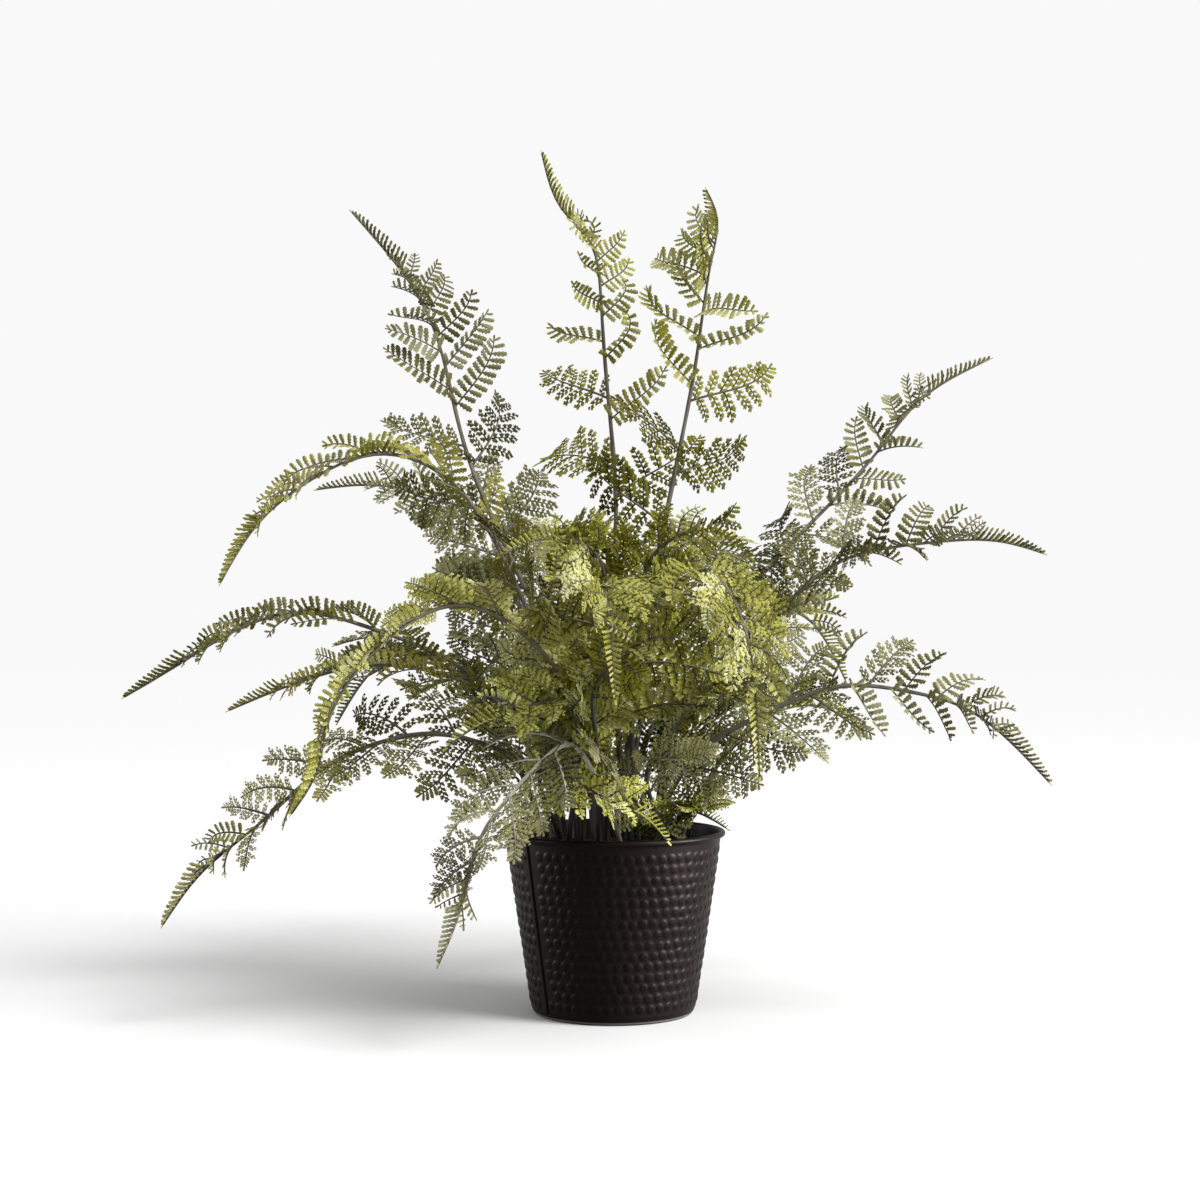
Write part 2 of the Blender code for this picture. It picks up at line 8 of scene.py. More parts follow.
import bpy
import numpy as np
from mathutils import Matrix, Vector

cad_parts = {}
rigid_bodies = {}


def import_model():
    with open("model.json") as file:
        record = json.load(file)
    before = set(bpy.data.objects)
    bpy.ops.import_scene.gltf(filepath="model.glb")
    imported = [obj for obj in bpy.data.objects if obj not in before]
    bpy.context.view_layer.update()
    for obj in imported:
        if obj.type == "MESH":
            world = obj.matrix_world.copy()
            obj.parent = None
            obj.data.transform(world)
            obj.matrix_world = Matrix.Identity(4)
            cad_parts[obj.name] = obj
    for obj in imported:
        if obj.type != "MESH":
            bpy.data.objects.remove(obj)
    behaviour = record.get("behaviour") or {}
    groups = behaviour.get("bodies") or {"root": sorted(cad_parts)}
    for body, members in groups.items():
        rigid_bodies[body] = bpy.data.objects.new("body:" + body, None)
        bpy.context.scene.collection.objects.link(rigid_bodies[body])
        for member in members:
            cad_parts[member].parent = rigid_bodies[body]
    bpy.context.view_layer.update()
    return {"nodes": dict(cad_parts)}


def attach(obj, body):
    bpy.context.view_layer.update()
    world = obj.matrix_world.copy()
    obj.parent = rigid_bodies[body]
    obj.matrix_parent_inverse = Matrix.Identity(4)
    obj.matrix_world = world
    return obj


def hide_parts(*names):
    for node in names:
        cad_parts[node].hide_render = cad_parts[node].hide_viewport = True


for leftover in list(bpy.data.objects):
    bpy.data.objects.remove(leftover)
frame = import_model()


def numbers(text):
    """Rows of numbers from text, with a comma between rows."""
    return np.array([row.split() for row in text.split(",")], float)


# Layouts of a full-size frond, in millimetres: distance from the tip and leaflet length.
STATIONS = numbers("51 17, 61 25, 76 32, 95 37, 118 43, 152 54, 206 63, 268 62, 334 52")
DENSE_STATIONS = numbers(
    "51 17, 61 23, 74 29, 92 33, 114 37, 138 42, 164 46, 192 50, 222 54, 254 56, 290 56"
)
TOP_STATIONS = numbers("51 20, 61 27, 73 32, 88 36, 106 40, 131 46, 168 55, 214 61, 268 60, 334 50")
SHORT_COMB_STATIONS = numbers(
    "36 22, 45 30, 57 36, 73 40, 94 42, 124 46, 166 54, 214 60, 268 60, 334 50"
)
BLUNT_STATIONS = numbers("12 46, 38 54, 70 58, 108 60, 152 60, 200 56")

# Each frond: the way its upper face looks, its size, and its stem's points, x y z in millimetres.
FRONDS = {
    1: ((0.1, -1, 0.2), 1, """-11 13 84, -12 14 104, -22 18 185, -42 22 231, -68 28 283,
    -92 34 343, -106 36 400, -123 30 438, -159 20 482"""),
    2: ((-0.4, -0.9, 0.1), 1, """-4 29 84, -4 32 104, -1 45 209, 2 58 306, -3 60 375, -7 55 427,
    -14 50 469, -32 45 489, -44 40 522"""),
    3: ((0.35, -0.9, 0.2), 1, """5 4 84, 6 4 104, 12 6 198, 23 8 256, 38 6 327, 50 0 392,
    58 -6 446, 62 -10 472, 55 -20 488"""),
    4: ((-0.2, -0.75, 0.6), 1, """9 22 84, 10 24 104, 20 30 159, 42 45 190, 86 70 251, 125 90 293,
    169 100 339, 200 100 376, 243 95 401"""),
    5: ((0, -0.55, 0.85), 0.95, """23 18 84, 26 20 104, 36 28 160, 75 34 208, 115 30 252,
    145 30 272, 184 25 280, 230 15 282, 259 5 274"""),
    6: ((0.1, -0.8, 0.6), 0.92, """22 -5 84, 24 -6 104, 47 -16 152, 82 -25 176, 110 -30 189,
    138 -34 196, 175 -36 192, 210 -40 180, 251 -50 141"""),
    7: ((0.2, -0.3, 0.9), 1, """9 -14 84, 10 -16 104, 2 -35 188, 15 -60 229, 32 -90 253,
    50 -120 261, 64 -150 244, 71 -170 213, 74 -185 155"""),
    8: ((-0.1, -0.4, 0.9), 1, """-18 -4 84, -20 -4 104, -27 -12 181, -48 -20 234, -70 -30 281,
    -96 -35 316, -135 -40 331, -178 -45 314, -207 -50 288, -226 -55 256"""),
    9: ((-0.1, -0.35, 0.95), 1, """-31 20 84, -34 22 104, -42 30 154, -72 40 187, -103 50 209,
    -150 55 228, -196 55 238, -235 50 227, -271 45 205, -302 40 186"""),
    10: ((-0.1, -0.4, 0.9), 0.8, """-29 4 84, -32 4 104, -47 8 158, -81 15 191, -108 20 202,
    -148 22 206, -194 20 195, -233 15 179"""),
    11: ((-0.2, -0.1, 1), 1, """-7 -32 84, -8 -36 104, -15 -50 162, -28 -65 198, -52 -85 228,
    -85 -105 243, -111 -120 234, -137 -135 210, -153 -145 181, -158 -150 156, -171 -155 133"""),
    12: ((-0.2, -0.6, 0.8), 0.9, """-36 -9 84, -40 -10 104, -40 -20 140, -67 -30 158, -101 -40 168,
    -137 -45 163, -170 -50 147, -203 -55 118, -235 -60 91, -257 -65 61"""),
    13: ((-0.1, -0.6, 0.8), 0.9, """-18 31 84, -20 34 104, -35 45 172, -58 62 240, -83 72 300,
    -119 78 315, -158 78 319, -187 74 316"""),
    14: ((-0.1, -0.8, 0.5), 0.85, """-27 36 84, -30 40 104, -40 55 155, -54 78 214, -79 95 258,
    -112 105 268, -144 112 278"""),
    15: ((-0.3, -0.6, 0.6), 0.75, """4 -45 84, 4 -50 104, -10 -70 144, -24 -90 165, -38 -105 159,
    -59 -120 137, -74 -130 114, -82 -140 83, -94 -145 52"""),
    16: ((0.1, -1, -0.1), 0.8, """-16 -20 84, -18 -22 104, -20 -34 161, -35 -48 200, -43 -62 229,
    -36 -76 252, -32 -86 275"""),
    17: ((0, -0.6, 0.8), 0.75, """-23 -34 84, -26 -38 104, -21 -58 149, -24 -74 183, -37 -85 189,
    -55 -100 184, -75 -108 177, -92 -112 165"""),
    18: ((0.1, -0.6, 0.8), 0.6, """-27 -23 84, -30 -26 104, -42 -48 136, -39 -64 151, -22 -78 144,
    -2 -86 133, 15 -88 126, 30 -88 111"""),
    19: ((0.2, -0.5, 0.8), 0.5, """27 -27 84, 30 -30 104, 20 -40 136, 23 -52 152, 35 -62 152,
    48 -70 143, 51 -73 129"""),
    20: ((0.2, -0.4, 0.9), 0.42, """34 -13 84, 36 -14 104, 38 -22 117, 45 -30 122, 54 -38 120,
    65 -46 114"""),
    21: ((-0.1, -0.9, 0.5), 0.85, """-5 -2 84, -6 -2 104, -6 -4 168, -2 -14 231, -9 -28 271,
    -27 -44 281, -47 -56 280, -65 -64 271"""),
    22: ((0.1, -0.9, 0.4), 0.85, """13 -4 84, 14 -4 104, 11 -6 165, 15 -14 234, 22 -20 270,
    39 -28 284, 59 -36 285, 79 -44 271"""),
    23: ((0, -0.2, 1), 0.85, """-4 -20 84, -4 -22 104, -4 -34 153, -8 -52 194, -10 -80 234,
    -9 -112 253, -5 -140 247, -2 -162 222, 0 -172 194"""),
    24: ((0.2, -0.6, 0.7), 0.65, """29 4 84, 32 4 104, 30 -8 148, 45 -22 182, 60 -36 192,
    76 -48 187, 91 -56 173"""),
    25: ((0.2, -0.9, 0.4), 0.75, """-11 -45 84, -12 -50 104, -10 -66 161, -12 -84 191, -4 -100 208,
    14 -112 222, 33 -122 226, 48 -130 216"""),
    26: ((-0.2, 0.1, 1), 1, """-20 42 84, -22 46 104, -45 95 205, -75 155 262, -98 215 262,
    -115 265 215"""),
    27: ((0, 0.1, 1), 1, """-6 48 84, -6 52 104, -12 100 220, -20 165 285, -26 235 280,
    -30 285 222"""),
    28: ((0.1, 0.1, 1), 1, """7 43 84, 8 46 104, 28 95 220, 52 155 280, 73 215 278,
    90 265 228"""),
    29: ((0.2, 0.1, 1), 0.95, """24 39 84, 26 42 104, 58 85 190, 100 135 235, 135 178 232,
    163 210 190"""),
    30: ((-0.2, 0.1, 1), 0.9, """-40 27 84, -43 29 104, -75 65 170, -118 105 208, -155 142 203,
    -186 170 163"""),
    31: ((0, 0.2, 1), 0.85, """15 42 84, 16 45 104, 26 80 150, 40 135 175, 50 185 148,
    54 212 100"""),
    32: ((0.1, 0.1, 1), 0.85, """40 22 84, 43 24 104, 75 55 155, 118 85 178, 160 110 168,
    195 130 130"""),
}

# What sets single fronds apart, by their numbers.
TOP = (1, 2, 3)  # the upright ones
LOW = (18, 19, 20)  # the ones just above the rim
CURLED = (2, 3, 16, 21, 22, 23, 24, 25)  # leaflets that curl sideways most
RUFFLED = (7, 16, 17, 18, 21, 22, 23, 24, 25)  # lobes that stand unevenly
SHORT_COMB = {3: 0.7}  # share of the usual comb's reach
BLUNT = {14: 0.7, 32: 0.62}  # ends in a leaflet, not in a comb: share of the stem that is left
LAYOUTS = {
    **dict.fromkeys((1, 2), TOP_STATIONS),
    3: SHORT_COMB_STATIONS,
    **dict.fromkeys((4, 5, 6, 7, 8, 9, 10, 11, 12, 13, 15), DENSE_STATIONS),
    **dict.fromkeys(BLUNT, BLUNT_STATIONS),
}
# How much broader the small lobes are, so that they close up.
BROAD = {
    7: 1.25, 11: 1.6, 16: 1.5, 17: 1.4, 18: 1.4, 19: 1.1, 20: 1.3, 21: 1.4, 22: 1.4, 23: 1.5,
    24: 1.4, 25: 1.4,
}
FINELY_CUT = (12, 15, *BROAD)  # short leaflets carry branches too
# How much further from the tip than usual the leaf rows stay folded up.
FOLDED = {5: 2.6, 8: 1.7, 9: 1.5, 10: 1.9, 11: 3.2, 12: 1.9, 15: 1.5}
HUGGING = {8: 42, 9: 31, 10: 33, 11: 20}  # degrees from the stem, near the tip
# How much longer the leaflets are, and how much besides near the tip.
LONGER = {
    2: 1.06, 3: 1.12, 7: 1.05, 8: 0.85, 9: 0.85, 10: 0.85, 11: 0.8, 12: 1.08, 13: 1.15, 14: 1.1,
    15: 1.08, 19: 1.25, 20: 1.45,
}
UPPER = {2: 0.68, 3: 1.02, 12: 0.86}
FULLER = {2: 1.3, 3: 1.12}  # how much longer the blades of slim leaflets are
# How much the leaflets hang down.
HANGING = {2: 0.45, 3: 0.42, 7: 0.75, 9: 0.35, 10: 0.25, 12: 0.25, 15: 0.45, 19: 0.35}
# Share of the inner leaflets that are lost, in the thick of the plant.
THINNED = {
    16: 0.25, 21: 0.45, 22: 0.45, 23: 0.5, 24: 0.4, 25: 0.45, 26: 0.35, 27: 0.45, 28: 0.45,
    29: 0.42, 30: 0.45, 31: 0.6,
}
SOLID_COMB = {11: 1.5, 12: 1.35, 15: 1.4}  # how much broader the comb's teeth are
PALE_COMB = {12: 0.26, 15: 0.5}  # how much paler they are
PAINTED_SHADE_INSIDE = {3: 0.62, 8: 0.66, 10: 0.34, 12: 0.36}  # painted shade: how much darker leaves are painted towards the plant's middle, and paler near the tip
# The way the upper face looks at the tip.
TIP_FACES = {
    1: (0.6, -0.45, 0.6), 2: (0.9, -0.35, 0.3), 3: (-0.9, -0.35, 0.1),
    4: (-0.4, -0.3, 0.85), 5: (0.1, -0.35, 0.9), 6: (0.45, -0.45, 0.75),
    7: (0.1, -1, 0.1), 8: (-0.8, -0.4, 0.35), 9: (-0.4, -0.3, 0.85),
    10: (-0.4, -0.3, 0.85), 11: (-0.95, -0.25, 0.2), 12: (-0.55, -0.4, 0.7),
}

# Stems, in metres.
SAMPLES = 240
STEM_RINGS = 64
STEM_SIDES = 7
STEM_RADIUS = 0.002
STEM_TIP_RADIUS = 0.00058
STEM_FLATNESS = 0.85
BARE_STEM = 0.05  # from the soil to the first leaflets
SMALL_BARE_STEM = 0.052
LOW_BARE_STEM = 0.019
SMALL_SIZE = 0.85
STEM_END = 0.998  # share of its length
TIP_ROLL = (0.66, 0.26)  # where along the stem the face starts to roll, and over how much of it

# The comb of teeth at a frond's tip, in metres and degrees.
COMB_REACH = 0.05
COMB_START = 0.0016
COMB_PITCH = 0.0033
COMB_TOOTH = 0.0118
COMB_END_TOOTH = 0.0034
COMB_ANGLE = 60
COMB_STAGGER = 0.22  # in pitches, one side ahead and the other behind
TOOTH_WIDTH = 0.0105
BROADEST_TOOTH = 4.5

# Leaflets, in metres and degrees.
INNER = 130  # millimetres from the tip, beyond which leaflets can be lost
UPPER_RANGE = (120, 180)  # millimetres from the tip, over which UPPER wears off
PAINTED_SHADE_RANGE = (100, 180)  # and over which PAINTED_SHADE_INSIDE, the painted shade, sets in
FORWARD = 57  # from the stem
FORWARD_RANGE = (0.15, 0.22)  # distances from the tip, over which HUGGING gives way to FORWARD
# How far the leaf rows fold up: distance from the tip and angle.
FOLD = [(0, 56), (0.05, 50), (0.09, 30), (0.15, 12), (0.22, -4), (0.4, -14)]
SWEEP = (8, 45)
CURLED_SWEEP = (30, 95)
SAG = 0.06
LEAFLET_STEPS = 13
END_LEAFLET = 0.056
DEEPLY_CUT = 0.042  # a leaflet longer than this carries branches of small lobes
TOP_DEEPLY_CUT = 0.05
FINE_DEEPLY_CUT = 0.029
UNEVEN = 2.4  # how much more unevenly the lobes of a ruffled frond stand

# Branches of a cut leaflet, as shares of its length, and the blades of a slim one, in metres.
BRANCH_SPACING = 0.15
BROAD_SPACING = 0.118
BRANCH_LENGTH = 0.335
FIRST_BRANCH = 0.08
LAST_BRANCH = 0.8
LONG_BRANCH = 0.0195  # metres: a longer one has the most lobes
TINY_BRANCH = 0.0135  # metres: a shorter one has the fewest
BLADE_PITCH = 0.0039
BLADE_START = 0.003
BLADE_HALF_WIDTH = 0.225  # share of its length
LONGEST_BLADE = 0.0098
END_BLADE = 0.0034


def unit(v):
    return v / np.linalg.norm(v, axis=-1, keepdims=True)


def square_to(way, v):
    """The vector made square to a unit direction."""
    return unit(v - v.dot(way) * way)


def turn(v, axis, angle):
    """The vector turned about a unit axis."""
    c = cos(angle)
    s = sin(angle)
    return v * c + np.cross(axis, v) * s + axis * axis.dot(v) * (1 - c)


def smooth_path(points, share):
    """Even samples along the first share of a natural cubic spline, with its length."""
    p = numbers(points) / 1000
    h = np.linalg.norm(np.diff(p, axis=0), axis=1) ** 0.5
    knots = np.concatenate([[0], np.cumsum(h)])
    n = len(p)
    left = np.eye(n)
    right = np.zeros((n, 3))
    for i in range(1, n - 1):
        left[i, i - 1 : i + 2] = h[i - 1], 2 * (h[i - 1] + h[i]), h[i]
        right[i] = 6 * ((p[i + 1] - p[i]) / h[i] - (p[i] - p[i - 1]) / h[i - 1])
    bend = np.linalg.solve(left, right)
    t = np.linspace(0, knots[-1], 4 * SAMPLES)
    k = np.clip(np.searchsorted(knots, t) - 1, 0, n - 2)
    a = (knots[k + 1] - t)[:, None]
    b = (t - knots[k])[:, None]
    g = h[k][:, None]
    curve = (bend[k] * a**3 + bend[k + 1] * b**3) / (6 * g)
    curve += (p[k] / g - bend[k] * g / 6) * a + (p[k + 1] / g - bend[k + 1] * g / 6) * b
    run = np.concatenate([[0], np.cumsum(np.linalg.norm(np.diff(curve, axis=0), axis=1))])
    even = np.linspace(0, share * run[-1], SAMPLES)
    return np.stack([np.interp(even, run, curve[:, i]) for i in range(3)], axis=1), even[-1]


class Path:
    """A line with a direction, an upper face and a side at each of its samples."""

    def __init__(self, points, along, face):
        self.points = points
        self.along = along
        self.face = face
        self.side = np.cross(along, face)
        self.last = len(points) - 1

    def at(self, part):
        """Point, direction, side and face at a part (0 to 1) of the length."""
        x = min(max(part, 0), 1) * self.last
        i = min(int(x), self.last - 1)
        f = x - i
        rows = (self.points, self.along, self.side, self.face)
        point, *ways = [a[i] * (1 - f) + a[i + 1] * f for a in rows]
        return point, *[unit(way) for way in ways]

    def leave(self, part, side, lift, angle):
        """Start, direction and upper way of a leaf at an angle, in a row folded up by lift."""
        point, along, across, face = self.at(part)
        out = side * across * cos(lift) + sin(lift) * face
        way = unit(cos(angle) * along + sin(angle) * out)
        return point, way, face * cos(lift) - side * across * sin(lift)


def stem_path(face, tip_face, points, share):
    """A frond's midrib, with a frame carried along it and rolled to its tip face at its end."""
    line, length = smooth_path(points, share)
    along = unit(np.gradient(line, axis=0))
    faces = np.zeros_like(line)
    begin, span = TIP_ROLL
    middle = int(begin * SAMPLES)
    carried = np.array(face)
    for i in [*range(middle, SAMPLES), *range(middle - 1, -1, -1)]:
        if i == middle - 1:
            carried = faces[middle]
        carried = square_to(along[i], carried)
        faces[i] = carried
    end = square_to(along[-1], np.array(tip_face))
    side = np.cross(along[-1], faces[-1])
    roll = atan2(-end.dot(side), end.dot(faces[-1]))
    for i in range(SAMPLES):
        part = min(max((i / (SAMPLES - 1) - begin) / span, 0), 1)
        faces[i] = turn(faces[i], along[i], -roll * part * part * (3 - 2 * part))
    return Path(line, along, faces), length


def grown_path(start, way, face, length, steps, curl, sweep, twist, sag):
    """A path grown step by step: curl bends it down from its face, sweep bends it sideways
    towards its end, twist rolls it and sag pulls it towards the ground."""
    points = [start]
    along = [way]
    faces = [face]
    for i in range(steps):
        late = 3 * ((i + 0.5) / steps) ** 2
        side = np.cross(way, face)
        way = turn(way, side, -curl / steps)
        face = turn(face, side, -curl / steps)
        way = turn(way, face, late * sweep / steps)
        face = turn(face, way, twist / steps)
        way = unit(way + np.array([0, 0, -sag / steps]))
        face = square_to(way, face)
        points.append(points[-1] + way * length / steps)
        along.append(way)
        faces.append(face)
    return Path(np.array(points), np.array(along), np.array(faces))


class Leafage:
    """Triangles of one piece as they are made, with their materials (0 stem, 1 leaf) and tints."""

    def __init__(self):
        self.parts = []
        self.count = 0

    def add(self, corners, faces, kind, tint):
        kinds = np.broadcast_to(kind, len(faces))
        tints = np.broadcast_to(tint, len(corners))
        self.parts.append((corners, faces + self.count, kinds, tints))
        self.count += len(corners)

    def tube(self, path, radii, sides, kind=0, flat=1, tint=0.5):
        """A tapered tube round a path, closed at both ends by a point."""
        n = len(path.points)
        turns = 2 * pi * np.arange(sides) / sides
        across = path.side[:, None] * np.cos(turns)[None, :, None]
        up = path.face[:, None] * (flat * np.sin(turns))[None, :, None]
        rings = path.points[:, None] + radii[:, None, None] * (across + up)
        ends = np.array([path.points[0], path.points[-1]])
        a = np.arange(n - 1) * sides
        last = (n - 1) * sides
        faces = []
        for j in range(sides):
            k = (j + 1) % sides
            faces.append(np.stack([a + j, a + k, a + sides + k], axis=1))
            faces.append(np.stack([a + j, a + sides + k, a + sides + j], axis=1))
            faces.append(np.array([[k, j, n * sides], [last + j, last + k, n * sides + 1]]))
        self.add(np.concatenate([rings.reshape(-1, 3), ends]), np.concatenate(faces), kind, tint)

    def mesh(self, name):
        corners, faces, kinds, tints = [np.concatenate(column) for column in zip(*self.parts)]
        data = bpy.data.meshes.new(name)
        data.vertices.add(len(corners))
        data.vertices.foreach_set("co", corners.astype(np.float32).ravel())
        data.loops.add(faces.size)
        data.loops.foreach_set("vertex_index", faces.astype(np.int32).ravel())
        data.polygons.add(len(faces))
        data.polygons.foreach_set("loop_start", np.arange(0, faces.size, 3, dtype=np.int32))
        data.polygons.foreach_set("material_index", kinds.astype(np.int32))
        tint = data.attributes.new("tint", "FLOAT", "POINT")
        tint.data.foreach_set("value", tints.astype(np.float32))
        data.update(calc_edges=True)
        data.validate()
        data.shade_smooth()
        return data


def flank_faces(first, count):
    """Triangles between rows of three points: edge, midline, edge."""
    faces = []
    for i in range(count - 1):
        a = first + 3 * i
        for j in (0, 1):
            faces.extend([(a + j, a + j + 1, a + j + 4), (a + j, a + j + 4, a + j + 3)])
    return faces


def ridged(stations, rise):
    """A slim leaf from (x, half width) stations: two flanks from a raised midline."""
    form = []
    shades = []
    widest = max(w for _, w in stations)
    for x, w in stations:
        low = 0.6 * rise - 1.4 * rise * w / widest
        form += [(x, w, low), (x, 0, rise * (1 - 0.6 * x)), (x, -w, low)]
        # Tints: paler at the wide tooth tips, partly the leaf's own paler edges and partly painted
        # highlight; darker in the notches, painted shade.
        edge = 0.95 * w / widest - 0.33
        shades += [edge, 0.1 + 0.1 * x, edge]
    faces = flank_faces(0, len(stations))
    return np.array(form), np.array(shades), np.array(faces)


# Outline of one lobe: along the branch in lobe pitches, and out from it in half widths.
LOBE = numbers("""-0.15 0.03, -0.34 0.38, -0.43 0.8, -0.1 0.74, 0.06 1.04, 0.24 0.8, 0.53 0.8,
    0.4 0.37, 0.17 0.03""")
# Tints round the outline: pale on the lobe's points, partly its own paler edges and partly painted
# highlight; low at its roots, painted shade.
LOBE_SHADES = [0, 0.16, 0.44, 0.12, 0.52, 0.14, 0.46, 0.16, 0]
MIDDLE_SHADE = 0.24
# Outline of the end lobe, in shares of the branch's length.
END_LOBE = numbers("""0.85 0.02, 0.87 0.075, 0.915 0.085, 0.93 0.045, 1 0, 0.94 -0.045,
    0.92 -0.085, 0.87 -0.075, 0.85 -0.02""")
TWIG_RIBS = (0, 0.22, 0.44, 0.66, 0.88)
TWIG_SHADES = [-0.35, -0.25, -0.35]
BRANCH_HALF_WIDTH = 0.2


def lobed(count, seed):
    """A branch: a thin twig with toothed lobes along both sides and one at its end."""
    rng = random.Random(seed)
    form, shades, faces = [], [], []

    def fan(outline, middle):
        first = len(form)
        n = len(outline)
        form.extend(outline + [middle])
        shades.extend(LOBE_SHADES + [MIDDLE_SHADE])
        faces.extend((first + i, first + (i + 1) % n, first + n) for i in range(n))

    pitch = 0.8 / count
    for side in (1, -1):
        for i in range(count):
            x = 0.12 + pitch * (i + 0.22 * side + rng.uniform(-0.1, 0.1))
            half = BRANCH_HALF_WIDTH * sin(pi * (0.26 + 0.56 * (x / 0.95))) ** 0.5
            lean = 0.16 + rng.uniform(-0.06, 0.06)
            grown = rng.uniform(0.84, 1.14)
            outline = []
            for u, v in LOBE:
                u = grown * u + rng.uniform(-0.07, 0.07)
                v = grown * v * (1 + rng.uniform(-0.08, 0.08))
                height = 0.012 - 0.034 * v**2 + rng.uniform(-0.012, 0.012)
                outline.append((x + pitch * u + lean * half * v * 2, side * half * v, height))
            fan(outline, (x + pitch * 0.05 + lean * half, side * half * 0.52, 0.036))
    fan([(x, y, 0.004) for x, y in END_LOBE], (0.92, 0, 0.024))
    first = len(form)
    for x in TWIG_RIBS:
        w = 0.027 - 0.014 * x
        form.extend([(x, w, 0.008), (x, 0, 0.034), (x, -w, 0.008)])
        shades.extend(TWIG_SHADES)
    faces.extend(flank_faces(first, len(TWIG_RIBS)))
    return np.array(form), np.array(shades), np.array(faces)


BRANCHES = {
    kind: [lobed(lobes, "%s %d" % (kind, i)) for i in range(forms)]
    for kind, lobes, forms in (("long", 5, 4), ("short", 4, 4), ("tiny", 3, 3))
}
BLADE = ridged(numbers("""0 0.05, 0.11 0.07, 0.27 0.185, 0.33 0.115, 0.5 0.22, 0.57 0.13,
    0.74 0.225, 0.81 0.14, 0.93 0.165, 1 0.06"""), 0.11)
TOOTH = ridged(numbers("""0 0.07, 0.22 0.098, 0.36 0.062, 0.52 0.098, 0.66 0.062, 0.84 0.092,
    1 0.03"""), 0.07)


class Places:
    """Where copies of a leaf shape go, gathered before they are stamped."""

    def __init__(self, shape):
        self.shape = shape
        self.rows = []
        self.tints = []

    def put(self, start, way, face, size, tint, broad=1, bend=0, sweep=0):
        side = unit(np.cross(face, way))
        self.rows.append((start, way, side, np.cross(way, side), size, broad, bend, sweep))
        self.tints.append(tint)

    def stamp(self, leafage):
        """Adds the copies, each bent and swept as its place says."""
        if not self.rows:
            return
        form, shades, faces = self.shape
        columns = [np.array(column)[:, None] for column in zip(*self.rows)]
        start, way, side, face, size, broad, bend, sweep = columns
        x = form[None, :, 0]
        y = form[None, :, 1] * broad + sweep * x**2
        z = form[None, :, 2] - bend * x**2
        corners = start
        for reach, axis in ((x, way), (y, side), (z, face)):
            corners = corners + (reach * size)[..., None] * axis
        count = len(size)
        first = np.arange(count)[:, None, None] * len(form)
        faces = (faces[None] + first).reshape(-1, 3)
        tint = np.repeat(np.array(self.tints), len(form)) + np.tile(shades, count)
        leafage.add(corners.reshape(-1, 3), faces, 1, tint)


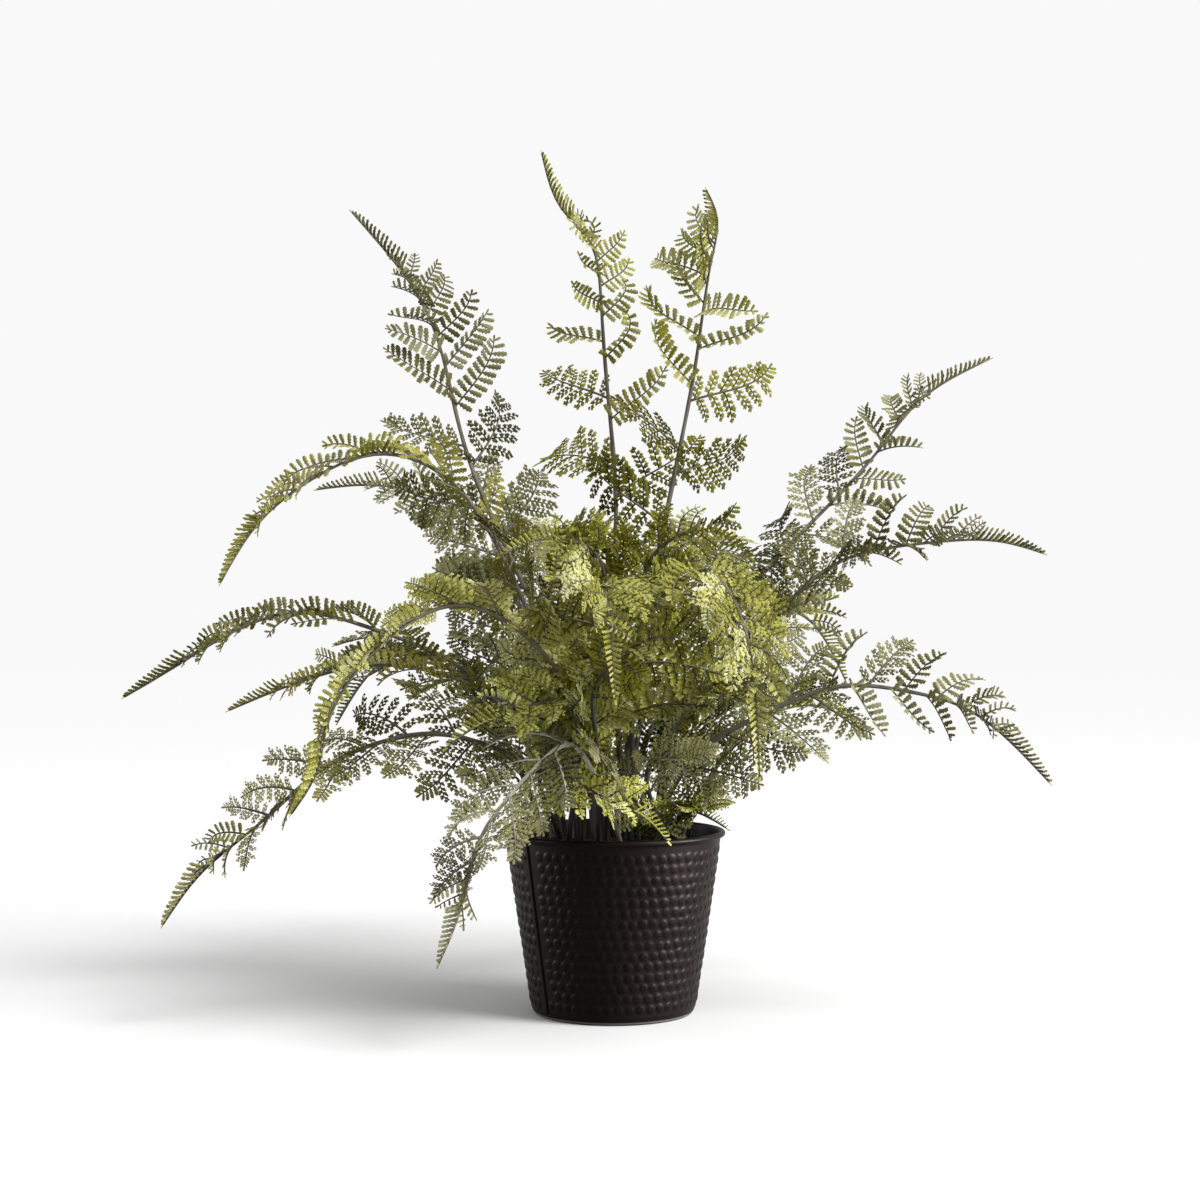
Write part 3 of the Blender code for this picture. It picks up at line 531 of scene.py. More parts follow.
class Frond:
    """One frond's leafage, grown along its midrib."""

    def __init__(self, number, face, size, points):
        self.name = "frond_%02d" % number
        self.rng = random.Random(self.name)
        self.number = number
        self.size = size
        self.leafy = size**0.45  # leaflets shrink less than the frond does
        self.bare = BARE_STEM if size > SMALL_SIZE else SMALL_BARE_STEM
        if number in LOW:
            self.bare = LOW_BARE_STEM
        self.deeply_cut = FINE_DEEPLY_CUT if number in FINELY_CUT else DEEPLY_CUT
        if number in TOP:
            self.deeply_cut = TOP_DEEPLY_CUT
        self.broad = BROAD.get(number, 1)
        self.forward = radians(HUGGING.get(number, FORWARD))
        self.ruffled = UNEVEN if number in RUFFLED else 1
        self.sweep = CURLED_SWEEP if number in CURLED else SWEEP
        self.painted_shade = 0
        self.tone = 0
        tip_face = TIP_FACES.get(number, face)
        self.path, self.length = stem_path(face, tip_face, points, BLUNT.get(number, 1))
        self.leafage = Leafage()
        self.forms = {kind: [Places(shape) for shape in BRANCHES[kind]] for kind in BRANCHES}
        self.blades = Places(BLADE)
        self.teeth = Places(TOOTH)

    def vary(self, spread):
        return self.rng.uniform(-spread, spread)

    def tilted(self, way, face, spread):
        return turn(face, way, self.vary(spread))

    def midrib(self):
        parts = np.linspace(0, 1, STEM_RINGS)
        places = [self.path.at(p) for p in parts]
        line = Path(*[np.array([row[i] for row in places]) for i in (0, 1, 3)])
        taper = np.clip((parts - 0.08) / 0.92, 0, 1)
        radii = STEM_RADIUS + (STEM_TIP_RADIUS - STEM_RADIUS) * taper**1.5
        radii = radii * self.size**0.35
        knots = 1 + 0.05 * np.sin(parts * 47) + 0.04 * np.sin(parts * 113)
        self.leafage.tube(line, radii * knots, STEM_SIDES, flat=STEM_FLATNESS)

    def fold(self, from_tip):
        """How far the leaf rows fold up from flat at a distance from the tip."""
        places, angles = zip(*FOLD)
        return radians(np.interp(from_tip / FOLDED.get(self.number, 1), places, angles))

    def comb(self):
        """The tip: close-set slim teeth that shorten to the end."""
        reach = COMB_REACH * self.size * SHORT_COMB.get(self.number, 1)
        pitch = COMB_PITCH * (0.5 + 0.5 * self.size)
        paler = PALE_COMB.get(self.number, 0)
        for i in range(int((reach - COMB_START) / pitch)):
            back = COMB_START + i * pitch
            lift = self.fold(back)
            for side in (1, -1):
                part = 1 - (back + side * pitch * COMB_STAGGER) / self.length
                length = COMB_TOOTH * self.leafy * (0.16 + 0.84 * (back / reach) ** 0.75)
                length *= 1 + self.vary(0.06)
                angle = radians(COMB_ANGLE + self.vary(4))
                point, way, top = self.path.leave(part, side, lift, angle)
                top = self.tilted(way, unit(top), 0.25)
                width = SOLID_COMB.get(self.number, 1) * TOOTH_WIDTH * self.size
                tint = paler + 0.5 * self.rng.random()
                self.teeth.put(point, way, top, length, tint, min(width / length, BROADEST_TOOTH))
        point, along, _, face = self.path.at(STEM_END)
        self.teeth.put(point, along, face, COMB_END_TOOTH, paler + 0.3, 2.4)

    def leaflets(self):
        lost = THINNED.get(self.number, 0)
        darker = PAINTED_SHADE_INSIDE.get(self.number, 0)
        longer = LONGER.get(self.number, 1)
        growth = (UPPER.get(self.number, 1) * longer, longer)
        for from_tip, reach in LAYOUTS.get(self.number, STATIONS):
            for side in (1, -1):
                back = self.size * (from_tip + 0.04 * side * from_tip) / 1000
                distance = self.length - back
                missing = from_tip > INNER and self.rng.random() < lost
                if distance > self.bare and not missing:
                    length = self.leafy * np.interp(from_tip, UPPER_RANGE, growth) * reach / 1000
                    # Painted shade: leaflets far from the tip are painted darker, those near it
                    # paler.
                    self.painted_shade = darker * np.interp(from_tip, PAINTED_SHADE_RANGE, (-0.35, 1))
                    self.leaflet(distance, side, length * (1 + self.vary(0.1)))

    def leaflet(self, distance, side, length):
        back = (self.length - distance) / self.size
        lift = self.fold(back) + radians(self.vary(12))
        angle = np.interp(back, FORWARD_RANGE, (self.forward, radians(FORWARD)))
        angle = angle + radians(self.vary(9))
        point, way, top = self.path.leave(distance / self.length, side, lift, angle)
        top = turn(square_to(way, top), way, radians(self.vary(26)))
        self.grow_leaflet(point, way, top, side, length)

    def grow_leaflet(self, point, way, top, side, length):
        cut = length > self.deeply_cut * self.leafy
        curl = radians(6 + 44 * self.rng.random() ** 1.4)
        sweep = side * radians(self.rng.uniform(*self.sweep))
        twist = radians(self.vary(52))
        sag = HANGING.get(self.number, SAG) + 0.34 * self.rng.random() ** 2
        line = grown_path(point, way, top, length, LEAFLET_STEPS, curl, sweep, twist, sag)
        radii = np.linspace(0.00082 if cut else 0.0006, 0.0004, LEAFLET_STEPS + 1)
        self.leafage.tube(line, radii, 4)
        # The leaflet's own random tone, less its painted shade.
        self.tone = 0.62 * self.rng.random() - 0.04 - self.painted_shade
        if cut:
            self.branches(line, length)
        else:
            folded = self.rng.random() < 0.45
            lift = self.rng.uniform(48, 72) if folded else self.rng.uniform(4, 34)
            fullness = FULLER.get(self.number, 1)
            self.blade_rows(line, length, BLADE_START, radians(lift), fullness)

    def blade_rows(self, line, length, start, lift, fullness):
        """Small serrated blades in two rows up to the end, longest in the lower third."""
        pitch = BLADE_PITCH * (0.6 + 0.4 * self.leafy) * min(max(length / 0.03, 0.86), 1.15)
        count = max(round((length - start) / pitch), 3) + 1
        for i in range(count):
            u = i / (count - 1)
            part = start / length + (0.965 - start / length) * (1.12 * u - 0.12 * u * u)
            reach = length * 0.28 * (1 - 0.44 * part**2) * (0.85 + 0.15 * min(part * 6, 1))
            reach = min(fullness * reach, 0.0034 + 0.7 * length * (1 - part), LONGEST_BLADE)
            broad = min(1, 0.46 * pitch / (BLADE_HALF_WIDTH * reach))
            for side in (1, -1):
                angle = radians(78 - 22 * part**2 + self.vary(5 * self.ruffled))
                point, way, top = line.leave(part + 0.012 * side, side, lift, angle)
                top = self.tilted(way, unit(top), 0.22 * self.ruffled)
                tint = self.tone + 0.3 * self.rng.random()
                self.blades.put(point, way, top, reach, tint, broad, 0.1 + self.vary(0.2))
        point, along, _, face = line.at(0.985)
        self.blades.put(point, along, face, END_BLADE, self.tone, 1.2)

    def branches(self, line, length):
        """Lobed branches nearly to the end, then small blades."""
        spacing = BRANCH_SPACING if self.broad == 1 else BROAD_SPACING
        lift = radians(self.rng.uniform(-4, 24))
        angles = {side: radians(self.rng.uniform(52, 66)) for side in (1, -1)}
        if self.rng.random() < 0.45:
            angles[self.rng.choice((1, -1))] = radians(self.rng.uniform(74, 98))
        part = FIRST_BRANCH
        while part < LAST_BRANCH:
            for side in (1, -1):
                shape = 0.72 + 0.28 * min(part * 4, 1) - 0.62 * max(part - 0.36, 0)
                reach = BRANCH_LENGTH * length * shape * (1 + self.vary(0.07 * self.ruffled))
                self.branch(line, part + 0.025 * side, side, reach, lift, angles[side])
            part += spacing * (1 - 0.25 * part)
        self.blade_rows(line, length, 0.83 * length, lift, 0.62)

    def branch(self, line, part, side, reach, lift, angle):
        angle = angle - 0.25 * part + radians(self.vary(5 * self.ruffled))
        point, way, top = line.leave(part, side, lift, angle)
        top = self.tilted(way, square_to(way, unit(top)), 0.22 * self.ruffled)
        kind = "long" if reach > LONG_BRANCH else "tiny" if reach < TINY_BRANCH else "short"
        tint = self.tone + 0.15 * self.rng.random()
        bend = 0.1 + self.vary(0.2 * self.ruffled)
        sweep = -side * (0.1 + self.vary(0.14 * self.ruffled))
        places = self.rng.choice(self.forms[kind])
        places.put(point, way, top, reach, tint, self.broad, bend, sweep)

    def grow(self):
        self.midrib()
        if self.number in BLUNT:
            point, along, _, face = self.path.at(STEM_END)
            self.grow_leaflet(point, along, face, 1, END_LEAFLET)
        else:
            self.comb()
        self.leaflets()
        for places in [*sum(self.forms.values(), []), self.blades, self.teeth]:
            places.stamp(self.leafage)
        return self.leafage.mesh(self.name + "_leafage")


# Pot: the CAD wall's numbers, in metres, and the hammered pattern.
POT_HEIGHT = 0.1085
BASE_RADIUS = 0.0488
TOP_RADIUS = 0.065
SHEET = 0.001
CORNER = 0.003
ROLL_RADIUS = 0.0017
SLOPE = (TOP_RADIUS - BASE_RADIUS) / POT_HEIGHT
SEAM_ANGLE = radians(218.5)
SEAM_WIDTH = radians(7)
SEAM_STEP = 0.0005
SEAM_GROOVE = 0.0006
SEAM_GROOVE_WIDTH = radians(1.5)
SEAM_CLEARANCE = (-0.055, 0.075)  # radians beside the seam that no mark's middle is in
POT_COLUMNS = 520
WALL_ROWS = 132
ROLL_ROWS = 12
INNER_ROWS = 8
MARK_ROWS = 15
MARK_PITCH = 0.0063
MARK_LOWEST = 0.0089
MARK_RADIUS = 0.00275
MARK_HEIGHT = 0.00048
MARK_SHOULDER = 0.52  # share of a mark's radius over which it rises
WAVE = 0.00012
SOIL_TOP = 0.1
SOIL_LOW = 0.05
SOIL_DIP = 0.0026
SOIL_RINGS = 40
SOIL_COLUMNS = 116
MOSS_STRANDS = 200
MOSS_REACH = 0.059


def wall_radius(height):
    return BASE_RADIUS + SLOPE * height


def lattice(shape):
    """Triangles over a grid of rows by columns, joined round."""
    count, columns = shape
    i = np.arange(count - 1)[:, None] * columns
    j = np.arange(columns)[None, :]
    k = (j + 1) % columns
    first = np.stack([i + j, i + k, i + columns + k], axis=-1).reshape(-1, 3)
    second = np.stack([i + j, i + columns + k, i + columns + j], axis=-1).reshape(-1, 3)
    return np.concatenate([first, second])


def pot_profile():
    """(radius, height, patterned) from the foot's inner edge, up outside, over the rim and down."""
    foot = BASE_RADIUS - CORNER
    rows = [(foot, 0, 0)]
    for degrees in range(15, 91, 15):
        a = radians(degrees)
        rows.append((foot + CORNER * sin(a), CORNER * (1 - cos(a)), 0))
    middle = POT_HEIGHT - ROLL_RADIUS
    low = middle - 1.5 * ROLL_RADIUS
    for i in range(1, WALL_ROWS + 1):
        z = CORNER + (low - CORNER) * i / WALL_ROWS
        rows.append((wall_radius(z), z, 1))
    roll_x = wall_radius(middle) - SHEET + ROLL_RADIUS
    for i in range(ROLL_ROWS):
        a = radians(-110 + 290 * i / (ROLL_ROWS - 1))
        rows.append((roll_x + ROLL_RADIUS * cos(a), middle + ROLL_RADIUS * sin(a), 0))
    for i in range(INNER_ROWS):
        z = middle - 0.004 - (middle - 0.014) * i / (INNER_ROWS - 1)
        rows.append((wall_radius(z) - SHEET, z, 0))
    rows.append((foot, 0.0012, 0))
    return np.array(rows)


def hammer_marks(rng):
    """Angle, height, radius and rise of each round mark: rows of even pitch, each out of step."""
    marks = []
    for row in range(MARK_ROWS):
        z = MARK_LOWEST + row * MARK_PITCH
        count = round(2 * pi * wall_radius(z) / MARK_PITCH)
        shift = 0.4 * row + rng.uniform(-0.16, 0.16)
        for k in range(count):
            angle = 2 * pi * (k + shift + rng.uniform(-0.1, 0.1)) / count
            height = z + rng.uniform(-0.0005, 0.0005)
            if not SEAM_CLEARANCE[0] < turned_from(angle, SEAM_ANGLE) < SEAM_CLEARANCE[1]:
                radius = MARK_RADIUS * rng.uniform(0.88, 1.08)
                marks.append((angle, height, radius, MARK_HEIGHT * rng.uniform(0.75, 1.15)))
    return np.array(marks)


def turned_from(angles, angle):
    """How far angles are from one, between minus and plus half a turn."""
    return (angles - angle + pi) % (2 * pi) - pi


def mark_relief(angles, heights, radii, marks):
    """How far each point of the wall stands out over the marks near it."""
    relief = np.zeros_like(heights)
    for angle, height, reach, rise in marks:
        rows = np.flatnonzero(np.abs(heights[:, 0] - height) < reach)
        away = turned_from(angles, angle)
        columns = np.flatnonzero(np.abs(away) < reach / 0.045)
        across = away[columns][None, :] * radii[rows][:, :1]
        up = heights[rows][:, :1] - height
        inward = np.clip(1 - np.sqrt(across**2 + up**2) / reach, 0, 1)
        dome = np.clip(inward / MARK_SHOULDER, 0, 1)
        block = np.ix_(rows, columns)
        relief[block] = np.maximum(relief[block], rise * dome * (2 - dome))
    return relief


def pot_wall():
    """The hammered wall with its lap seam and rolled rim."""
    rows = pot_profile()
    angles = 2 * pi * np.arange(POT_COLUMNS) / POT_COLUMNS
    grid = np.broadcast_to(angles, (len(rows), POT_COLUMNS))
    radii = np.repeat(rows[:, :1], POT_COLUMNS, axis=1)
    heights = np.repeat(rows[:, 1:2], POT_COLUMNS, axis=1)
    patterned = rows[:, 2:3]
    relief = mark_relief(angles, heights, radii, hammer_marks(random.Random("hammer"))) * patterned
    along = (grid - SEAM_ANGLE) / SEAM_WIDTH
    lap = np.where((along <= 0) & (along > -1), SEAM_STEP * (1 + along), 0) * patterned
    half = 0.5 * SEAM_GROOVE_WIDTH
    groove = (np.abs(grid - SEAM_ANGLE - half) < half) * patterned
    wave = WAVE * np.sin(3 * grid + 40 * heights) * patterned
    radii = radii + relief + lap + wave - SEAM_GROOVE * groove
    corners = np.stack([radii * np.cos(grid), radii * np.sin(grid), heights], axis=-1)
    tint = (0.5 + 0.5 * np.clip(relief / MARK_HEIGHT, 0, 1) - 0.5 * groove).ravel()
    last = (len(rows) - 1) * POT_COLUMNS
    k = np.arange(POT_COLUMNS)
    n = (k + 1) % POT_COLUMNS
    close = [np.stack([last + k, last + n, n], 1), np.stack([last + k, n, k], 1)]
    leafage = Leafage()
    leafage.add(corners.reshape(-1, 3), np.concatenate([lattice(radii.shape), *close]), 0, tint)
    return leafage.mesh("pot_shell")


def value_noise(points, seed, scale):
    """Smooth noise between -1 and 1 at points in the plane."""
    table = np.random.RandomState(seed).uniform(-1, 1, (64, 64))
    q = points / scale + 200
    cell = np.floor(q).astype(int)
    f = q - cell
    f = f * f * (3 - 2 * f)
    a, b = np.moveaxis(f, -1, 0)
    x0, y0 = np.moveaxis(cell, -1, 0) % 64
    x1, y1 = (x0 + 1) % 64, (y0 + 1) % 64
    low, high = [table[x0, y] * (1 - a) + table[x1, y] * a for y in (y0, y1)]
    return low * (1 - b) + high * b


def soil_top():
    """Crumbly soil just below the rim, closed below by a plain plug, with strands of moss on it."""
    angles = 2 * pi * np.arange(SOIL_COLUMNS) / SOIL_COLUMNS
    edge = wall_radius(SOIL_TOP) - SHEET - 0.0003
    parts = np.linspace(0, 1, SOIL_RINGS)[1:]
    radii = edge * parts[:, None] * np.ones(SOIL_COLUMNS)
    plane = np.stack([radii * np.cos(angles), radii * np.sin(angles)], axis=-1)
    grains = ((0.0018, 3, 0.011), (0.0012, 5, 0.0042), (0.0007, 7, 0.0019))
    lump = sum(height * value_noise(plane, seed, scale) for height, seed, scale in grains)
    heights = SOIL_TOP - SOIL_DIP + lump - 0.0016 * parts[:, None] ** 4
    top = np.concatenate([plane, heights[..., None]], axis=-1).reshape(-1, 3)
    low = top[-SOIL_COLUMNS:].copy()
    low[:, :2] *= (wall_radius(SOIL_LOW) - SHEET - 0.0006) / edge
    low[:, 2] = SOIL_LOW
    centre = np.array([[0, 0, heights[0].mean()], [0, 0, SOIL_LOW]])
    corners = np.concatenate([top, low, centre])
    k = np.arange(SOIL_COLUMNS)
    n = (k + 1) % SOIL_COLUMNS
    hub = np.full(SOIL_COLUMNS, len(corners) - 2)
    base = (SOIL_RINGS - 1) * SOIL_COLUMNS
    faces = [
        lattice((SOIL_RINGS, SOIL_COLUMNS))[:, [0, 2, 1]],
        np.stack([k, n, hub], axis=1),
        np.stack([base + n, base + k, hub + 1], axis=1),
    ]
    leafage = Leafage()
    leafage.add(corners, np.concatenate(faces), 0, 0.4)
    rng = random.Random("moss")
    for _ in range(MOSS_STRANDS):
        angle = rng.uniform(0, 2 * pi)
        away = MOSS_REACH * sqrt(rng.random())
        start = np.array([away * cos(angle), away * sin(angle), SOIL_TOP - 0.003])
        heading = rng.uniform(0, 2 * pi)
        way = unit(np.array([cos(heading), sin(heading), rng.uniform(0.1, 1)]))
        face = unit(np.cross(way, [sin(heading), -cos(heading), 0.01]))
        length = rng.uniform(0.005, 0.013)
        if hypot(*(start + way * length)[:2]) > MOSS_REACH + 0.0005:
            continue
        curl, sweep = rng.uniform(0.4, 1.8), rng.uniform(-1, 1)
        strand = grown_path(start, way, face, length, 5, curl, sweep, 0, 0)
        leafage.tube(strand, np.linspace(0.00034, 0.00016, 6), 4, kind=1, tint=rng.random())
    return leafage.mesh("soil_top")


class Finish:
    """A new material, with short ways to add and join its nodes."""

    def __init__(self, name, colour, roughness, **values):
        self.material = bpy.data.materials.new(name)
        self.material.use_nodes = True
        self.tree = self.material.node_tree
        self.sockets = self.tree.nodes["Principled BSDF"].inputs
        self.sockets["Base Color"].default_value = (*colour, 1)
        self.sockets["Roughness"].default_value = roughness
        for key, value in values.items():
            self.sockets[key.replace("_", " ")].default_value = value

    def new(self, kind, inputs=(), **values):
        node = self.tree.nodes.new(kind)
        for key, value in values.items():
            setattr(node, key, value)
        for key, value in dict(inputs).items():
            self.set(node.inputs[key], value)
        return node

    def set(self, socket, value):
        """A number, a colour or another node's output on a socket."""
        if isinstance(value, (int, float)):
            socket.default_value = value
        elif isinstance(value, tuple):
            socket.default_value = (*value, 1)
        else:
            self.tree.links.new(value, socket)

    @cached_property
    def place(self):
        return self.new("ShaderNodeTexCoord").outputs["Object"]

    def noise(self, scale, detail, rough=0.55):
        inputs = {"Scale": scale, "Detail": detail, "Roughness": rough, "Vector": self.place}
        return self.new("ShaderNodeTexNoise", inputs).outputs["Fac"]

    def ramp(self, fac, stops):
        node = self.new("ShaderNodeValToRGB", {"Fac": fac})
        while len(node.color_ramp.elements) < len(stops):
            node.color_ramp.elements.new(0.5)
        for element, (position, colour) in zip(node.color_ramp.elements, stops):
            element.position = position
            element.color = (*colour, 1)
        return node.outputs["Color"]

    def height(self, low, high):
        """0 at one height on the object and 1 at another."""
        split = self.new("ShaderNodeSeparateXYZ", {"Vector": self.place})
        inputs = {"From Min": low, "From Max": high, "Value": split.outputs["Z"]}
        return self.new("ShaderNodeMapRange", inputs).outputs["Result"]

    def tint(self):
        return self.new("ShaderNodeAttribute", attribute_name="tint").outputs["Fac"]

    def math(self, operation, *values):
        node = self.new("ShaderNodeMath", enumerate(values), operation=operation)
        return node.outputs["Value"]

    def mix(self, a, b, fac=1, blend="MULTIPLY"):
        node = self.new("ShaderNodeMix", data_type="RGBA", blend_type=blend)
        for name, value in (("Factor", fac), ("A", a), ("B", b)):
            self.set([s for s in node.inputs if s.name == name and s.enabled][0], value)
        return [s for s in node.outputs if s.enabled][0]

    def done(self, colour, relief, strength, distance):
        """The material, with its colour and a bump of fine relief joined to the shader."""
        inputs = {"Strength": strength, "Distance": distance, "Height": relief}
        self.set(self.sockets["Base Color"], colour)
        self.set(self.sockets["Normal"], self.new("ShaderNodeBump", inputs).outputs["Normal"])
        return self.material


def leaf_material(name, deep, middle, pale):
    """Moulded leaf: deep colour in the roots of the lobes as painted shade, paler on their backs
    and edges, partly the leaf's own colour and partly painted highlight.
    """
    look = Finish(name + "_leaf", middle, 0.62, Specular_IOR_Level=0.05)
    patches = look.noise(34, 3)
    grains = look.noise(620, 2)
    spots = look.math("MULTIPLY", patches, 0.62)
    level = look.math("MULTIPLY_ADD", look.tint(), 0.58, spots)
    fresh = [m + 0.3 * (p - m) for m, p in zip(middle, pale)]
    fresh[2] = middle[2] + 0.13 * (pale[2] - middle[2])
    colour = look.ramp(level, [(0.26, deep), (0.58, middle), (0.7, fresh), (0.95, pale)])
    speckle = look.ramp(grains, [(0.35, (0.86, 0.86, 0.84)), (0.65, (1.08, 1.08, 1.05))])
    return look.done(look.mix(colour, speckle), grains, 0.35, 0.0004)


def stem_material(name, colour, dark):
    """Wiry stem: grey-brown with fine ridges and darker patches, and painted shade that makes it
    darkest near the soil.
    """
    look = Finish(name + "_stem", colour, 0.6, Specular_IOR_Level=0.3)
    patches = look.noise(60, 4)
    grains = look.noise(900, 2)
    body = look.ramp(patches, [(0.3, dark), (0.7, colour)])
    # Painted shade: stems are painted darker from the soil upwards, where the leaves above shade
    # them.
    lift = look.height(SOIL_TOP, STEM_SHADE_TOP.get(name, 0.24))
    painted_low_shade = look.ramp(lift, [(0, (0.16, 0.15, 0.14)), (1, (1, 1, 1))])
    return look.done(look.mix(body, painted_low_shade), grains, 0.3, 0.0004)


def pot_material():
    """Espresso-brown coated metal: darker on the marks, black in the seam, and a pale grey band at
    the foot that is a painted highlight.
    """
    look = Finish(
        "espresso_metal_finish", (0.004, 0.003, 0.003), 0.4, Specular_IOR_Level=0.05,
        Specular_Tint=(1, 0.84, 0.79, 1),
    )
    cloud = look.noise(26, 4)
    fine = look.noise(520, 3)
    worn = look.ramp(look.tint(), [
        (0, (0.0003, 0.0002, 0.0002)), (0.45, (0.0024, 0.0016, 0.0015)),
        (0.8, (0.0014, 0.001, 0.0009)),
    ])
    shade = look.ramp(cloud, [(0.3, (0.8, 0.8, 0.8)), (0.7, (1.2, 1.15, 1.1))])
    body = look.mix(worn, shade)
    # Painted highlight: a pale grey band round the foot, where the edge catches light off the
    # floor.
    foot = look.height(0.0016, 0.0007)
    colour = look.mix(body, (0.1, 0.095, 0.09), foot, "MIX")
    look.set(look.sockets["Roughness"], look.math("MULTIPLY_ADD", cloud, 0.14, 0.36))
    return look.done(colour, fine, 0.12, 0.0003)


def base_material():
    look = Finish("base_metal_finish", (0.11, 0.1, 0.1), 0.4, Metallic=0.8)
    cloud = look.noise(40, 5)
    fine = look.noise(700, 2)
    colour = look.ramp(cloud, [(0.3, (0.07, 0.06, 0.06)), (0.7, (0.15, 0.14, 0.14))])
    return look.done(colour, fine, 0.2, 0.0003)


def soil_material():
    look = Finish("dark_soil_finish", (0.012, 0.01, 0.007), 0.95, Specular_IOR_Level=0.15)
    crumbs = look.noise(260, 6, 0.7)
    clumps = look.noise(60, 3)
    dark = look.ramp(crumbs, [
        (0.35, (0.004, 0.003, 0.002)), (0.6, (0.016, 0.013, 0.009)), (0.8, (0.045, 0.036, 0.022)),
    ])
    moss = look.ramp(clumps, [(0.5, (0.9, 0.9, 0.9)), (0.7, (0.9, 1.25, 0.7))])
    return look.done(look.mix(dark, moss), crumbs, 0.9, 0.001)


def moss_material():
    look = Finish("moss_strands", (0.03, 0.03, 0.012), 0.8, Specular_IOR_Level=0.2)
    colour = look.ramp(look.tint(), [
        (0, (0.008, 0.007, 0.004)), (0.6, (0.03, 0.028, 0.012)), (1, (0.075, 0.072, 0.03)),
    ])
    look.set(look.sockets["Base Color"], colour)
    return look.material


# Leaf colours in thousandths: in the roots of the lobes, over most of the leaf, at its palest.
LEAF_TONES = {
    # shaded_olive is olive painted about a fifth darker: painted shade for frond 1.
    "shaded_olive": "14 13 3, 58 56 20, 165 161 90",
    "moss": "14 13 1.2, 74 71 14, 215 206 96",
    "olive": "18 16.5 3, 80 77 27, 208 203 116",
    "fresh": "26 24 1.5, 122 114 18, 290 278 110",
    "grass": "20 19.5 0.4, 128 124 14, 325 315 140",
    "dry": "24 22 3, 130 124 40, 300 292 170",
    "straw": "34 32 2, 156 148 34, 330 317 150",
    "green": "22 21.8 0.3, 137 136 10, 360 355 175",
    "yellow": "44 42.5 2, 218 212 48, 400 392 230",
    "spring": "38 39 1, 185 189 36, 450 456 215",
    "bright": "65 64.5 3, 370 366 70, 700 692 390",
    "grey": "30 28.5 10, 106 103 39, 250 245 140",
    "pewter": "45 43 18, 160 155 70, 330 322 190",
    "silver": "19 17.5 8, 92 87 41, 255 246 148",
}
# Stem colours in thousandths: on the ridges and in the darker patches.
STEM_TONES = {
    "olive": "120 105 80, 55 46 34",
    "green": "100 88 66, 40 34 24",
    "yellow": "115 100 60, 55 46 24",
    "grey": "150 135 115, 65 56 46",
    "silver": "360 340 285, 190 175 135",
}
STEM_SHADE_TOP = {"silver": 0.14}  # height above the ground up to which stems are painted darker: painted shade below the leaves
# The fronds of each material slot. The others are green.
TONE_OF = {
    "olive": (1, 5, 6, 8, 9, 10, 12),
    "yellow": (7, 11, 16, 18, 23),
    "grey": (4, 13, 14, 19, 26, 30),
    "silver": (15,),
}
# Fronds whose leaves have a colour of their own within their slot; frond 1's is olive painted
# darker as painted shade.
SHADE_OF = {
    1: "shaded_olive", 2: "grass", 3: "grass", 8: "straw", 9: "moss", 10: "fresh", 12: "dry", 13: "pewter",
    14: "pewter", 17: "spring", 18: "bright",
}


def add_object(name, data):
    thing = bpy.data.objects.new(name, data)
    bpy.context.scene.collection.objects.link(thing)
    return thing


def show(name, data, materials, node):
    """Puts a mesh into the scene in place of a CAD node."""
    thing = add_object(name, data)
    for material in materials:
        data.materials.append(material)
    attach(thing, "root")
    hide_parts(node)


def make_fronds():
    leaves = {tone: leaf_material(tone, *numbers(text) / 1000) for tone, text in LEAF_TONES.items()}
    stems = {tone: stem_material(tone, *numbers(text) / 1000) for tone, text in STEM_TONES.items()}
    for number, (face, size, points) in FRONDS.items():
        tone = next((key for key, group in TONE_OF.items() if number in group), "green")
        frond = Frond(number, face, size, points)
        materials = [stems[tone], leaves[SHADE_OF.get(number, tone)]]
        show(frond.name + "_leafage", frond.grow(), materials, frond.name)


def make_pot():
    wall = pot_wall()
    wall.set_sharp_from_angle(angle=radians(50))
    show("pot_shell", wall, [pot_material()], "pot_wall")
    show("soil_top", soil_top(), [soil_material(), moss_material()], "soil")
    base = frame["nodes"]["pot_base"]
    base.data.materials.clear()
    base.data.materials.append(base_material())


# Studio, in metres, watts and degrees.
FLOOR_REACH = 12
FLOOR_DROP = 0.0005
FLOOR_GREY = 0.515
SUN_WAY = (-0.55, 0.42, -0.85)
SUN_POWER = 3.6
SUN_SPREAD = 26
SKY_STRENGTH = 0.95
CAMERA = (-0.008, -1.3, 0.246)
LENS = 65


def aimed(way):
    return Vector(way).to_track_quat("-Z", "Y").to_euler()


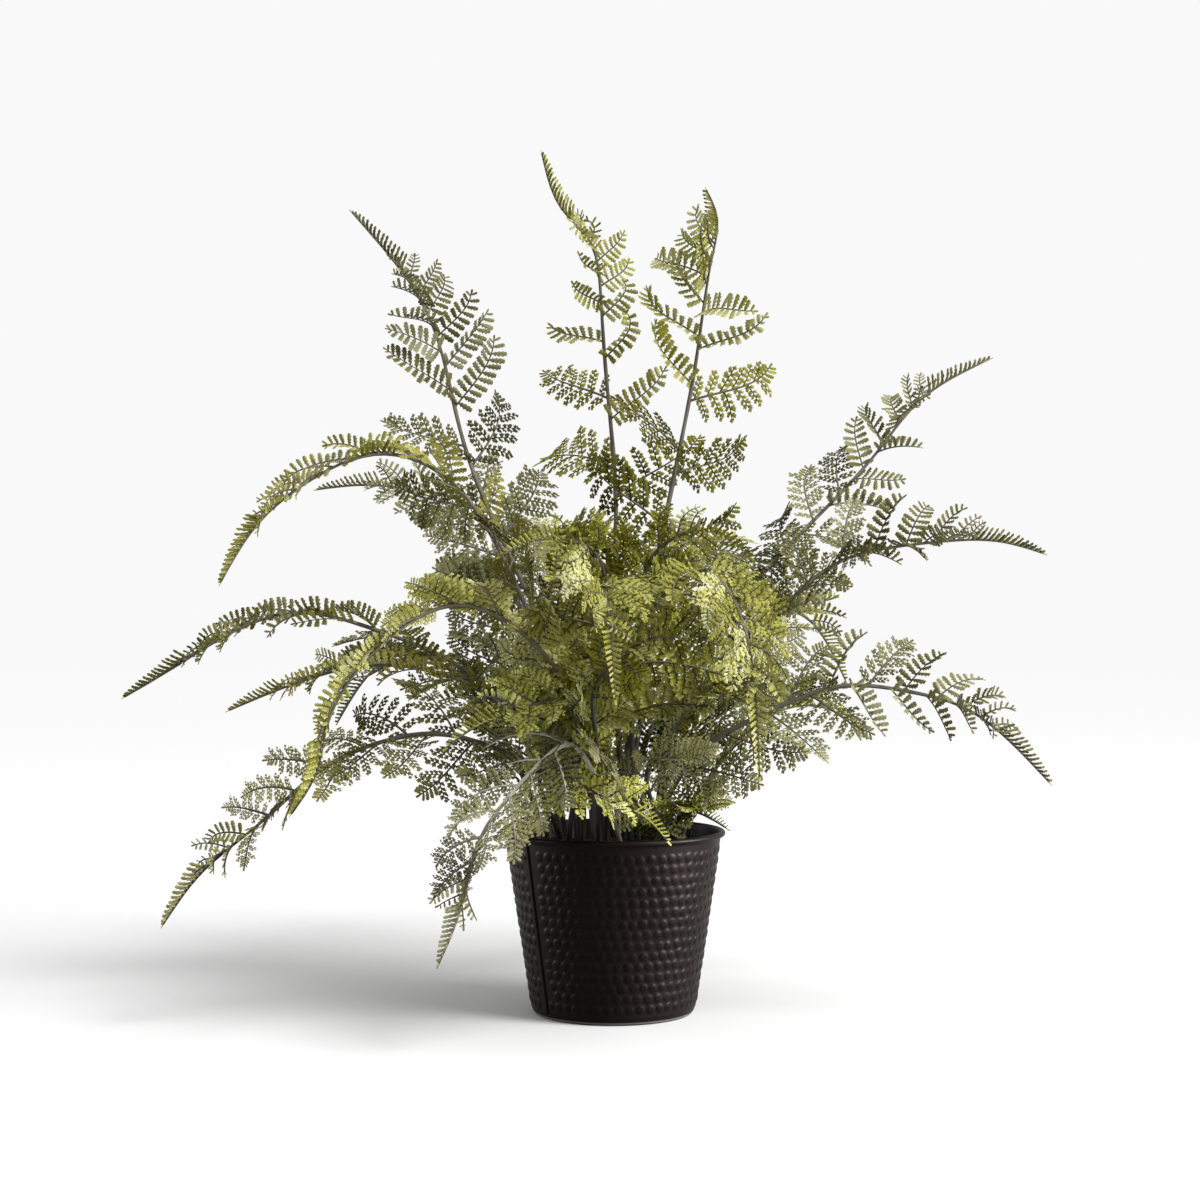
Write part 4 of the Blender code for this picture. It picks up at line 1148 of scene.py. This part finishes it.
def area_light(name, place, target, width, height, power):
    light = bpy.data.lights.new(name, "AREA")
    light.shape = "RECTANGLE"
    light.size = width
    light.size_y = height
    light.energy = power
    thing = add_object(name, light)
    thing.location = place
    thing.rotation_euler = aimed(Vector(target) - Vector(place))
    thing.visible_camera = False
    return thing


def make_floor():
    data = bpy.data.meshes.new("floor")
    signs = ((-1, -1), (1, -1), (1, 1), (-1, 1))
    data.from_pydata([(x * FLOOR_REACH, y * FLOOR_REACH, 0) for x, y in signs], [], [(0, 1, 2, 3)])
    floor = add_object("floor", data)
    floor.location.z = -FLOOR_DROP
    look = Finish("pale_floor", (FLOOR_GREY,) * 3, 0.9, Specular_IOR_Level=0)
    data.materials.append(look.material)


def make_lights():
    """A soft sun, a softbox, two low boxes that light only the pot, and a pale surround."""
    sun = bpy.data.lights.new("sun", "SUN")
    sun.energy = SUN_POWER
    sun.angle = radians(SUN_SPREAD)
    add_object("sun", sun).rotation_euler = aimed(SUN_WAY)
    area_light("right_box", (1.9, -1, 1), (0, 0, 0.15), 1.1, 1.6, 55)
    right = area_light("low_box", (0.8, -0.2, 0.24), (0, 0, 0.06), 0.45, 0.36, 50)
    left = area_light("left_low_box", (-0.8, 0.12, 0.22), (0, 0, 0.06), 0.35, 0.35, 10)
    lit = bpy.data.collections.new("lit_by_low_boxes")
    lit.objects.link(bpy.data.objects["pot_shell"])
    for light in (right, left):
        light.light_linking.receiver_collection = lit
    world = bpy.data.worlds.new("surround")
    world.use_nodes = True
    sky = world.node_tree.nodes["Background"]
    sky.inputs["Color"].default_value = (1, 1, 1, 1)
    sky.inputs["Strength"].default_value = SKY_STRENGTH
    bpy.context.scene.world = world


def make_camera():
    """A level camera in front of the pot, as in the photo."""
    lens = bpy.data.cameras.new("camera")
    lens.lens = LENS
    camera = add_object("camera", lens)
    camera.location = CAMERA
    camera.rotation_euler = (pi / 2, 0, 0)
    bpy.context.scene.camera = camera
    bpy.context.scene.view_settings.view_transform = "Standard"


make_pot()
make_fronds()
make_floor()
make_lights()
make_camera()
